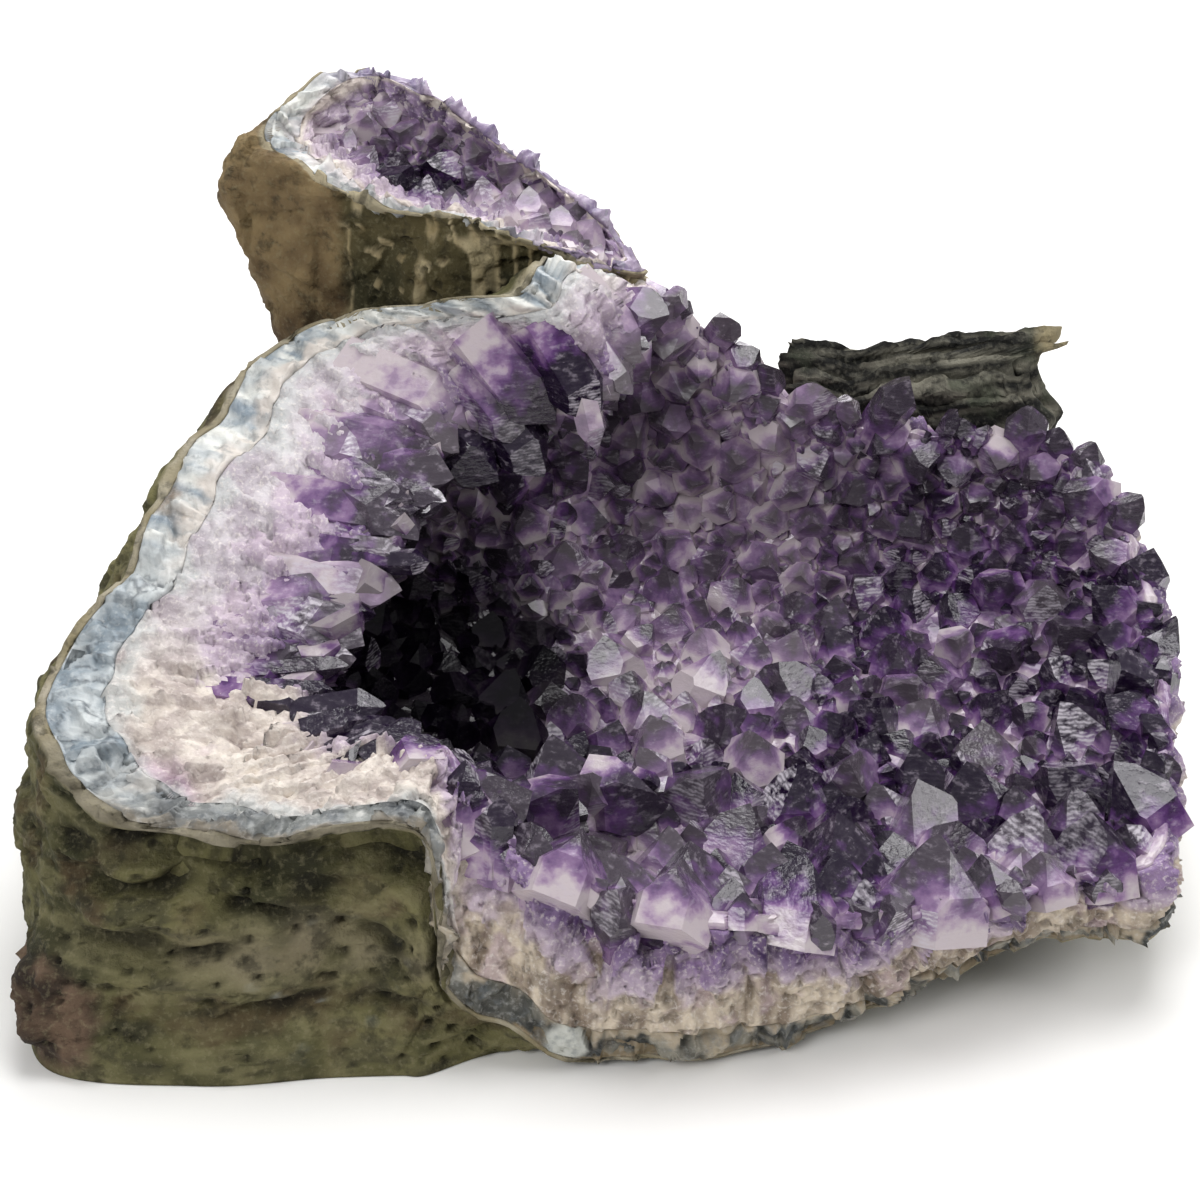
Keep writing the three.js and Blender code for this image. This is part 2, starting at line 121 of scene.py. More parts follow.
def lattice_noise(points: Array, size: float, seed: int) -> Array:
    """Smooth noise: random numbers on a cubic lattice, blended with a quintic fade.

    Args:
        points: places in mm, last axis x, y, z.
        size: lattice spacing in mm.
        seed: picks another pattern.

    Returns:
        Values from -1 to 1.
    """
    p = points / size
    whole = np.floor(p).astype(np.int64)
    f = p - whole
    f = f * f * f * (f * (f * 6 - 15) + 10)
    total = np.zeros(points.shape[:-1])
    for step in product((0, 1), repeat=3):
        x, y, z = (f[..., k] if up else 1 - f[..., k] for k, up in enumerate(step))
        corner = hashed(*(whole[..., k] + up for k, up in enumerate(step)), seed)
        total += x * y * z * (2 * corner - 1)
    return total


def fractal(points: Array, size: float, octaves: int, seed: int) -> Array:
    """Sum of lattice noises, each half the size and half the height of the one before.

    Args:
        points: places in mm.
        size: the coarsest spacing in mm.
        octaves: how many noises are summed.
        seed: picks another pattern.

    Returns:
        Values from about -1 to 1.
    """
    total = np.zeros(points.shape[:-1])
    for k in range(octaves):
        total += lattice_noise(points, size / 2**k, seed + 17 * k) / 2**k
    return total / 1.6


class Cells(NamedTuple):
    """Cellular noise at each place."""

    first: Array  # distance to the nearest centre, in cube sizes
    second: Array  # distance to the second nearest
    facet: Array  # tilted-plane height of the nearest cell, which makes flat broken facets
    tone: Array  # random number of that cell


def cells(points: Array, size: float, seed: int) -> Cells:
    """Cellular noise: one random centre in each cube of a lattice, and the nearest one wins.

    Args:
        points: places in mm.
        size: cube size in mm.
        seed: picks other centres.

    Returns:
        What the nearest centres give.
    """
    p = points / size
    whole = np.floor(p).astype(np.int64)
    first = np.full(points.shape[:-1], 9.0)
    second = np.full(points.shape[:-1], 9.0)
    facet = np.zeros(points.shape[:-1])
    tone = np.zeros(points.shape[:-1])
    for step in product((-1, 0, 1), repeat=3):
        cube = whole + np.array(step)
        corner = np.moveaxis(cube, -1, 0)
        centre, tilt = (
            np.stack([hashed(*corner, seed + start + k) for k in range(3)], -1) for start in (0, 5)
        )
        away = p - cube - centre
        distance = np.linalg.norm(away, axis=-1)
        nearer = distance < first
        second = np.where(nearer, first, np.minimum(second, distance))
        facet = np.where(nearer, (away * (tilt - 0.5)).sum(-1), facet)
        tone = np.where(nearer, hashed(*corner, seed + 9), tone)
        first = np.where(nearer, distance, first)
    return Cells(first, second, facet, tone)


def smooth(low: float | Array, high: float | Array, x: Array) -> Array:
    """Rises smoothly from 0 at low to 1 at high, or falls where low is the greater."""
    t = np.clip((x - low) / (high - low), 0, 1)
    return t * t * (3 - 2 * t)


def bump(points: Array, at: tuple, radii: tuple) -> Array:
    """A soft ellipsoid bump: 1 at its middle, fading as a Gaussian with the given radii in mm."""
    scaled = (points - np.array(at, float)) / np.array(radii, float)
    return np.exp(-(scaled**2).sum(-1))


# ---------------------------------------------------------------- the two bowls


@dataclass(frozen=True)
class Lump:
    """A lump (positive height) or hollow of the rock skin, in mm."""

    at: tuple[float, float, float]
    radius: float
    height: float


ROCK_LUMPS = (
    Lump((-158, -92, 18), 16, 3),
    Lump((-146, -97, 10), 13, 5),
    Lump((-117, -97, 54), 15, -5),
    Lump((-150, -92, 50), 13, -4),
    Lump((-64, -98, 46), 17, -5),
    Lump((-118, -100, 22), 24, 3),
    Lump((-150, 60, 70), 30, 5),
    Lump((-120, 110, 60), 34, -4),
    Lump((20, 134, 60), 32, 5),
    Lump((120, 106, 40), 30, -4),
    Lump((164, 40, 30), 26, 4),
    Lump((-60, 120, 40), 30, 5),
)

# Outer edge of the rim, widest point of the rock, inner edge of the rim, wall thickness, and how
# far out the resting face reaches under the widest point.
MAIN_RIM = (
    ((0, -103, 2), (4, -82, 0), (6, -97, 54), 47, 0.95),
    ((40, -97, 2), (38, -76, 0), (39, -99, 50), 46, 0.9),
    ((74, -88, 7), (68, -66, 2), (71, -96, 48), 44, 0.8),
    ((104, -76, 15), (96, -54, 6), (99, -86, 46), 42, 0.7),
    ((134, -70, 20), (120, -46, 10), (129, -75, 45), 40, 0.65),
    ((161, -66, 22), (144, -40, 14), (155, -64, 47), 40, 0.65),
    ((173, -28, 28), (156, -12, 18), (166, -28, 53), 42, 0.65),
    ((180, 20, 46), (160, 26, 26), (173, 20, 71), 44, 0.7),
    ((176, 68, 72), (156, 74, 40), (166, 64, 95), 46, 0.7),
    ((150, 102, 86), (134, 102, 44), (144, 88, 106), 46, 0.75),
    ((108, 110, 90), (98, 116, 44), (110, 86, 109), 46, 0.75),
    ((68, 116, 98), (58, 128, 48), (72, 88, 113), 46, 0.75),
    ((40, 120, 120), (26, 136, 60), (44, 93, 131), 46, 0.75),
    ((12, 116, 148), (-6, 140, 74), (20, 90, 147), 46, 0.75),
    ((-17, 82, 170), (-44, 132, 90), (12, 76, 137), 58, 0.75),
    ((-27, 68, 166), (-78, 126, 86), (-2, 64, 129), 70, 0.75),
    ((-57, 82, 157), (-104, 118, 80), (-26, 63, 128), 76, 0.75),
    ((-88, 93, 147), (-128, 102, 72), (-47, 54, 120), 78, 0.75),
    ((-113, 84, 134), (-146, 76, 66), (-54, 34, 111), 80, 0.78),
    ((-129, 46, 119), (-154, 40, 58), (-62, 8, 99), 80, 0.8),
    ((-143, 0, 101), (-161, 0, 50), (-76, -14, 87), 76, 0.85),
    ((-158, -32, 86), (-168, -34, 44), (-79, -34, 80), 72, 0.9),
    ((-152, -60, 80), (-163, -64, 42), (-67, -47, 78), 72, 1.0),
    ((-131, -84, 71), (-142, -94, 38), (-58, -52, 78), 70, 1.08),
    ((-97, -93, 68), (-98, -97, 38), (-51, -55, 78), 66, 1.12),
    ((-70, -90, 71), (-68, -95, 36), (-46, -58, 78), 62, 1.11),
    ((-48, -94, 71), (-52, -98, 32), (-42, -61, 78), 58, 1.07),
    ((-44, -99, 46), (-46, -101, 20), (-36, -70, 76), 54, 1.04),
    ((-40, -101, 25), (-34, -98, 8), (-26, -80, 69), 50, 1.0),
    ((-18, -103, 9), (-14, -92, 1), (-10, -91, 61), 48, 0.98),
)
LOBE_RIM = (
    ((13, 112, 156), (15, 128, 98), (2, 109, 161), 0, 0.45),
    ((-6, 129, 173), (4, 152, 96), (-8, 126, 170), 0, 0.45),
    ((-33, 147, 187), (-26, 168, 108), (-32, 144, 183), 0, 0.45),
    ((-60, 158, 203), (-60, 176, 124), (-56, 153, 194), 0, 0.45),
    ((-86, 160, 212), (-96, 172, 140), (-74, 155, 200), 0, 0.45),
    ((-106, 146, 203), (-118, 156, 150), (-84, 152, 196), 0, 0.45),
    ((-111, 134, 194), (-122, 132, 162), (-88, 145, 191), 0, 0.45),
    ((-100, 124, 190), (-110, 120, 158), (-82, 137, 187), 0, 0.45),
    ((-84, 108, 185), (-86, 112, 150), (-70, 128, 181), 0, 0.45),
    ((-70, 101, 180), (-68, 108, 146), (-58, 122, 178), 0, 0.45),
    ((-44, 90, 181), (-46, 98, 142), (-38, 112, 176), 0, 0.45),
    ((-20, 86, 174), (-18, 108, 120), (-6, 104, 166), 0, 0.45),
)


class Bowl:
    """A wall of layers round a hollow, given by stations round its broken rim."""

    MEASURE_STEPS = 600
    LOBE_LAYERS = (0, 0.04, 0.40, 0.92, 1)  # where the lobe's thin wall has the layers' borders

    def __init__(
        self, rim: tuple, base: tuple, floor: tuple, focus: tuple | None, favour: float
    ) -> None:
        """Keeps the stations as arrays, and measures the way round the wall.

        Args:
            rim: the stations.
            base: middle of the underside.
            floor: middle of the hollow's floor.
            focus: the point that the wall's thickness is measured towards, if any.
            favour: how many times denser the grids are at the front than at the back.
        """
        self.outer_edge, self.belly, self.inner_edge = (
            np.array([row[k] for row in rim], float) for k in range(3)
        )
        self.wall = np.array([row[3] for row in rim], float)
        self.foot = np.array([row[4] for row in rim], float)
        self.base = np.array(base, float)
        self.floor = np.array(floor, float)
        self.focus = None if focus is None else np.array(focus, float)
        self.count = len(rim)
        self.is_main = focus is not None
        steps = np.arange(self.MEASURE_STEPS + 1) * self.count / self.MEASURE_STEPS
        most = np.full_like(steps, 0.9)
        inside, outside = self.inner(steps, most), self.outer(steps, most)
        lengths = 0.5 * (
            np.linalg.norm(np.diff(inside, axis=0), axis=1)
            + np.linalg.norm(np.diff(outside, axis=0), axis=1)
        )
        near = 1 + (favour - 1) * smooth(70, -50, outside[:-1, 1])
        self.step_u = steps
        self.step_length = np.concatenate([[0.0], np.cumsum(lengths)])
        self.step_column = np.concatenate([[0.0], np.cumsum(lengths * near)])

    def curve(self, values: Array, u: Array) -> Array:
        """Closed uniform Catmull-Rom curve through the stations' values, at u."""
        i = np.floor(u).astype(int)
        f = u - i
        if values.ndim > 1:
            f = f[..., None]
        p, q, r, s = (values[(i + k) % self.count] for k in (-1, 0, 1, 2))
        return q + 0.5 * f * (r - p + f * (2 * p - 5 * q + 4 * r - s + f * (3 * (q - r) + s - p)))

    def column_u(self, share: Array) -> Array:
        """The u of a share of a grid's columns, denser at the front."""
        return np.interp(share % 1.0, self.step_column / self.step_column[-1], self.step_u)

    def even_u(self, share: Array) -> Array:
        """The u that lies a share of the way round, by length."""
        return np.interp(share % 1.0, self.step_length / self.step_length[-1], self.step_u)

    def length_at(self, u: Array) -> Array:
        """How far round the wall u lies, in mm."""
        return np.interp(u % self.count, self.step_u, self.step_length)

    def outer(self, u: Array, v: Array) -> Array:
        """Outside of the rock: flat underside, then a parabola through foot, belly and rim."""
        belly = self.curve(self.belly, u)
        rim = self.curve(self.outer_edge, u)
        foot = self.base + self.curve(self.foot, u)[..., None] * (belly - self.base)
        foot[..., 2] = self.base[2]
        flat = self.base + np.clip(v / FLAT_TO_V, 0, 1)[..., None] * (foot - self.base)
        t = ((v - FLAT_TO_V) / (1 - FLAT_TO_V))[..., None]
        rising = 2 * (t - 0.5) * (t - 1) * foot - 4 * t * (t - 1) * belly + 2 * t * (t - 0.5) * rim
        rising[..., 2] = np.maximum(self.base[2], rising[..., 2])
        return np.where(v[..., None] <= FLAT_TO_V, flat, rising)

    def cave(self, u: Array) -> Array:
        """The point where the hollow reaches furthest into the wall."""
        belly = self.curve(self.belly, u)
        if self.focus is not None:
            inwards = self.focus - belly
            inwards /= np.linalg.norm(inwards, axis=-1, keepdims=True)
            return belly + self.curve(self.wall, u)[..., None] * inwards
        rim = self.curve(self.inner_edge, u)
        cave = self.floor + 0.62 * (rim - self.floor)
        cave[..., 2] = self.floor[2] + 0.3 * (rim[..., 2] - self.floor[2])
        return cave

    def inner(self, u: Array, v: Array) -> Array:
        """Root face: in plan a parabola through floor, cave, rim; in z a cubic, level at first."""
        rim, cave = self.curve(self.inner_edge, u), self.cave(u)
        m, t = CAVE_V, v[..., None]
        point = (
            self.floor * (t - m) * (t - 1) / m
            + cave * t * (t - 1) / (m * (m - 1))
            + rim * t * (t - m) / (1 - m)
        )
        cave_rise, rim_rise = cave[..., 2] - self.floor[2], rim[..., 2] - self.floor[2]
        square = (cave_rise - m**3 * rim_rise) / (m**2 - m**3)
        point[..., 2] = self.floor[2] + square * v**2 + (rim_rise - square) * v**3
        return point

    def at(self, u: Array, v: Array, w: Array) -> Array:
        """P(u, v, w): the two faces with their coarse relief, mixed by w.

        Args:
            u: places round the rim.
            v: places from the floor out.
            w: shares of the wall's thickness.

        Returns:
            Points in mm.
        """
        u, v, w = np.broadcast_arrays(np.asarray(u, float), np.asarray(v, float), w)
        outside, inside = self.outer(u, v), self.inner(u, v)
        through = inside - outside
        through /= np.linalg.norm(through, axis=-1, keepdims=True)
        rough = rock_relief(outside) * smooth(FLAT_TO_V, 0.5, v)
        outside = outside - through * rough[..., None]
        outside[..., 2] = np.maximum(self.base[2], outside[..., 2])
        inside = inside + through * (bed_relief(inside) * (1 - v**4))[..., None]
        return (1 - w)[..., None] * outside + w[..., None] * inside

    def spread(self, w: Array) -> Array:
        """Widens the agate of the lobe, whose wall is thin, at the cost of its quartz."""
        if self.is_main:
            return w
        return np.interp(w, (0, ROCK_TO, AGATE_TO, QUARTZ_TO, 1), self.LOBE_LAYERS)

    def mm_per_v(self, u: Array, w: Array) -> Array:
        """How far a point of the rim moves for one unit of v, in mm."""
        one, step = np.ones_like(w), 0.03
        return np.linalg.norm(self.at(u, one, w) - self.at(u, one - step, w), axis=-1) / step

    def into_hollow(self, u: Array, v: Array) -> Array:
        """Unit direction into the hollow from the root face: the cross of its two slopes."""
        step, one = 0.02, np.ones_like(v)
        along = self.at(u + step, v, one) - self.at(u - step, v, one)
        outwards = self.at(u, v + step, one) - self.at(u, v - step, one)
        normal = np.cross(outwards, along)
        return normal / np.linalg.norm(normal, axis=-1, keepdims=True)


def rock_relief(p: Array) -> Array:
    """Coarse relief of the rock in mm: two products of sines, and the lumps as Gaussians."""
    x, y, z = p[..., 0], p[..., 1], p[..., 2]
    height = 1.7 * np.sin(x / 9.7 + y / 15.1) * np.sin(z / 11.3 - y / 18.7)
    height = height + 1.1 * np.sin(x / 5.9 - z / 7.3 + 1.3) * np.sin(y / 6.7 + z / 9.1)
    for lump in ROCK_LUMPS:
        height = height + lump.height * bump(p, lump.at, (lump.radius,) * 3)
    return height


def bed_relief(p: Array) -> Array:
    """Coarse relief of the crystal bed in mm: a product of two sines."""
    return 2.2 * np.sin(p[..., 0] / 17 + 0.8) * np.sin(p[..., 1] / 14 - p[..., 2] / 23)


# ---------------------------------------------------------------- meshes


@dataclass
class Patch:
    """Points, faces and point attributes of a mesh in the making."""

    points: Array
    faces: list[Array]
    marks: dict[str, Array] = field(default_factory=dict)
    painted_glint_share: list[Array] = field(default_factory=list)  # painted glint share: one number a face, as faces

    def joined(self, other: Patch) -> Patch:
        """This patch and another as one, with the marks that both have."""
        shifted = [each + len(self.points) for each in other.faces]
        marks = {k: np.concatenate([self.marks[k], other.marks[k]]) for k in self.marks}
        points = np.concatenate([self.points, other.points])
        return Patch(points, self.faces + shifted, marks, self.painted_glint_share + other.painted_glint_share)

    def to_object(self, name: str, smooth_shading: bool) -> Object:
        """Puts the arrays into a new mesh object; marks of three numbers become colours.

        Args:
            name: the piece's name.
            smooth_shading: True for rounded surfaces, False for flat crystal faces.

        Returns:
            The object, linked to the scene.
        """
        mesh = bpy.data.meshes.new(name)
        mesh.vertices.add(len(self.points))
        mesh.vertices.foreach_set("co", (self.points * MM).astype(np.float32).ravel())
        loops = np.concatenate([each.ravel() for each in self.faces])
        sizes = np.concatenate([np.full(len(each), each.shape[1]) for each in self.faces])
        mesh.loops.add(len(loops))
        mesh.loops.foreach_set("vertex_index", loops.astype(np.int32))
        mesh.polygons.add(len(sizes))
        starts = np.concatenate([[0], np.cumsum(sizes)[:-1]])
        mesh.polygons.foreach_set("loop_start", starts.astype(np.int32))
        mesh.polygons.foreach_set("use_smooth", np.full(len(sizes), smooth_shading))
        for key, values in self.marks.items():
            if values.ndim == 1:
                mark = mesh.attributes.new(key, "FLOAT", "POINT")
                mark.data.foreach_set("value", values.astype(np.float32))
            else:
                mark = mesh.attributes.new(key, "FLOAT_COLOR", "POINT")
                full = np.concatenate([values, np.ones((len(values), 1))], 1)
                mark.data.foreach_set("color", full.astype(np.float32).ravel())
        if self.painted_glint_share:
            mark = mesh.attributes.new("painted_glint_share", "FLOAT", "FACE")
            mark.data.foreach_set("value", np.concatenate(self.painted_glint_share).astype(np.float32))
        mesh.update(calc_edges=True)
        piece = bpy.data.objects.new(name, mesh)
        bpy.context.scene.collection.objects.link(piece)
        return piece


@dataclass
class Shell:
    """A closed shell of one layer of a bowl, as rings of points from pole to pole."""

    bowl: Bowl
    columns: int
    rows: Array  # one (v, w) a ring

    def __post_init__(self) -> None:
        """Works out the rings, their normals and the lengths that relief and finishes read."""
        share = (np.arange(self.columns) + 0.5) / self.columns
        u, w = self.bowl.column_u(share)[None, :], self.bowl.spread(self.rows[:, 1:2])
        v = np.where(self.rows[:, 0:1] >= 1, 1 + RIM_SWELL * 4 * w * (1 - w), self.rows[:, 0:1])
        self.u, self.v, w = np.broadcast_arrays(u, v, w)
        edge = self.bowl.curve(self.bowl.outer_edge, u)
        sway = BORDER_SWAY * fractal(edge, 16.0, 3, 91)
        borders = self.bowl.spread(np.array([AGATE_TO, QUARTZ_TO]))
        self.w = w + sum(sway * np.exp(-(((w - at) / BORDER_WIDTH) ** 2)) for at in borders)
        self.points = self.bowl.at(self.u, self.v, self.w)
        self.on_rim = self.rows[:, 0] >= 1
        self.normals = self.grid_normals()
        self.around = self.bowl.length_at(self.u)
        one = np.ones_like(u)
        across = self.bowl.at(u, one, one) - self.bowl.at(u, one, 0 * one)
        self.depth = np.linalg.norm(across, axis=-1) * self.w

    def grid_normals(self) -> Array:
        """Unit normals: cross of the slopes along and across the rings, the rim's on its own."""
        normal = np.zeros_like(self.points)
        stretches = [slice(0, len(self.points))]
        rim = np.flatnonzero(self.on_rim)
        if len(rim) > 1:
            stretches.append(slice(rim[0], rim[-1] + 1))
        for rows in stretches:
            part = self.points[rows]
            along = np.roll(part, -1, axis=1) - np.roll(part, 1, axis=1)
            cross = np.cross(along, np.gradient(part, axis=0))
            normal[rows] = cross / np.maximum(np.linalg.norm(cross, axis=-1, keepdims=True), 1e-9)
        return normal

    def raise_by(self, height: Array) -> None:
        """Moves each point along its normal by a height in mm, and never under the resting face."""
        self.points = self.points + self.normals * height[..., None]
        self.points[..., 2] = np.maximum(0.0, self.points[..., 2])

    def rim_relief(self) -> tuple[Array, Array]:
        """Relief of the broken rim: long facets across the wall on slow waves.

        Returns:
            Heights in mm that all layers share, and the random number of each facet.
        """
        shift = 3 * lattice_noise(self.points, 12.0, 107)
        broken = cells(self.drawn(2.6, shift), 9.0, 101)
        waves = fractal(self.points, 34.0, 3, 103)
        return RIM_WAVES * waves + RIM_FACETS * broken.facet, broken.tone

    def drawn(self, stretch: float, shift: Array | float = 0.0) -> Array:
        """Places on the rim, (way round, depth), for patterns drawn out across the wall."""
        return np.stack([self.around + shift, self.depth / stretch, 0 * self.depth], -1)

    def window(self, stretch: Stretch) -> Array:
        """1 along a stretch of the rim, 0 outside it, with soft ends."""
        start, end, soft = stretch.value
        middle, half, turn = (start + end) / 2, (end - start) / 2, self.bowl.count
        away = np.abs((self.u - middle + turn / 2) % turn - turn / 2)
        return smooth(half + soft, half - soft, away)

    def patch(self, marks: dict[str, Array]) -> Patch:
        """Closes the rings with a fan at each pole.

        Args:
            marks: point attributes on the grid.

        Returns:
            The shell as a patch.
        """
        rings, count = self.points.shape[:2]
        ends = [self.bowl.at(0.0, 0.0, self.rows[k, 1]) for k in (0, -1)]
        points = np.concatenate([self.points.reshape(-1, 3), np.array(ends)])
        i = np.arange(count)
        j = (i + 1) % count
        ring = np.arange(rings - 1)[:, None] * count
        quads = np.stack([ring + i, ring + j, ring + count + j, ring + count + i], -1)
        top = (rings - 1) * count
        pole = rings * count
        fans = np.concatenate(
            [
                np.stack([np.full(count, pole), j, i], -1),
                np.stack([top + i, top + j, np.full(count, pole + 1)], -1),
            ]
        )
        whole = {
            key: np.concatenate([
                value.reshape(rings * count, *value.shape[2:]),
                value[0].mean(0)[None],
                value[-1].mean(0)[None],
            ])
            for key, value in marks.items()
        }
        return Patch(points, [quads.reshape(-1, 4), fans], whole)


def profile(*stretches: tuple[float, float, float, float, int]) -> Array:
    """Rows of (v, w) along straight stretches: from v, from w, to v, to w, and how many rows."""
    rows = [
        np.stack([np.linspace(v0, v1, n), np.linspace(w0, w1, n)], -1)
        for v0, w0, v1, w1, n in stretches
    ]
    joined = np.concatenate(rows)
    keep = np.concatenate([[True], np.abs(np.diff(joined, axis=0)).sum(1) > 1e-9])
    return joined[keep]


# ---------------------------------------------------------------- finishes


def linear(hex_colour: str) -> tuple[float, float, float, float]:
    """Turns an sRGB hex colour into the linear RGBA that shaders take."""
    parts = [int(hex_colour[k : k + 2], 16) / 255 for k in (1, 3, 5)]
    return (*(c / 12.92 if c <= 0.04045 else ((c + 0.055) / 1.055) ** 2.4 for c in parts), 1.0)


def dyed(share: Array, under: Array | str, over: Array | str) -> Array:
    """Lays one colour over another by a share from 0 to 1; each is an array or a hex colour."""
    low, high = (np.array(linear(c)[:3]) if isinstance(c, str) else c for c in (under, over))
    t = np.clip(share, 0, 1)[..., None]
    return low * (1 - t) + high * t


def coated(base: Array, *coats: tuple[Array, Array | str]) -> Array:
    """Lays coats over a base in order; each is a share from 0 to 1 and a colour."""
    for share, colour in coats:
        base = dyed(share, base, colour)
    return base


def per(size_mm: float) -> float:
    """Scale of a texture whose blobs are about size_mm across, for places in metres."""
    return 1 / (size_mm * MM)


def add(
    tree: NodeTree, kind: str, links: dict | None = None, **settings: object
) -> Node:
    """Adds a shader node with its settings and links.

    Args:
        tree: the material's tree.
        kind: the node's type, without its ShaderNode prefix.
        links: input name or number to a socket to link from, a value, or a hex colour.
        settings: attributes of the node.

    Returns:
        The node.
    """
    node = tree.nodes.new("ShaderNode" + kind)
    for key, value in settings.items():
        setattr(node, key, value)
    for key, value in (links or {}).items():
        if isinstance(value, NodeSocket):
            tree.links.new(value, node.inputs[key])
        else:
            node.inputs[key].default_value = linear(value) if isinstance(value, str) else value
    return node


@dataclass(frozen=True)
class Finish:
    """A material of the stone; each kind says how its surface is made up."""

    name: str

    def surface(self, tree: NodeTree, place: NodeSocket) -> Node:
        """Gives the closing shader, worked out from places on the object."""
        raise NotImplementedError

    def material(self) -> Material:
        """Makes the Blender material."""
        material = bpy.data.materials.new(self.name)
        material.use_nodes = True
        tree = material.node_tree
        tree.nodes.clear()
        place = add(tree, "TexCoord").outputs["Object"]
        shader = self.surface(tree, place)
        add(tree, "OutputMaterial", {"Surface": shader.outputs[0]})
        return material


@dataclass(frozen=True)
class StoneFinish(Finish):
    """Opaque stone: a dye laid on the mesh, grain and specks that vary it, and two bumps.

    Weathered basalt is matt and gritty, massive quartz sugary with tiny glints, and chalcedony
    waxy with a soft sheen; the sizes in mm tell them apart.
    """

    grain_mm: float = 2.0
    grain_depth_mm: float = 0.5
    rough_mm: float = 7.0
    rough_depth_mm: float = 1.2
    dark: str = "#1b1a12"
    pale: str = "#8a8468"
    speck: float = 0.5
    fleck: float = 0.3
    roughness: float = 0.85
    gloss: float = 0.3

    def surface(self, tree: NodeTree, place: NodeSocket) -> Node:
        """Dye, darkened by specks and lightened by flecks, over a bump of two noise sizes."""
        colour = add(tree, "Attribute", attribute_name="dye").outputs["Color"]
        grain, rough = (
            add(tree, "TexNoise", {"Vector": place, "Scale": per(size), "Detail": 5.0,
                                   "Roughness": uneven}).outputs["Fac"]
            for size, uneven in ((self.grain_mm, 0.6), (self.rough_mm, 0.62))
        )
        for source, low, high, most, over in (
            (rough, 0.47, 0.36, self.speck, self.dark),
            (grain, 0.52, 0.68, self.fleck, self.pale),
        ):
            share = add(tree, "MapRange", {"Value": source, "From Min": low, "From Max": high,
                                           "To Max": most}).outputs["Result"]
            colour = add(tree, "Mix", {0: share, 6: colour, 7: over}, data_type="RGBA").outputs[2]
        fine = add(tree, "Bump", {"Height": grain, "Distance": self.grain_depth_mm * MM}).outputs[0]
        normal = add(tree, "Bump", {"Height": rough, "Distance": self.rough_depth_mm * MM,
                                    "Normal": fine}).outputs[0]
        return add(tree, "BsdfPrincipled", {
            "Base Color": colour, "Roughness": self.roughness, "Normal": normal,
            "Specular IOR Level": self.gloss,
        })


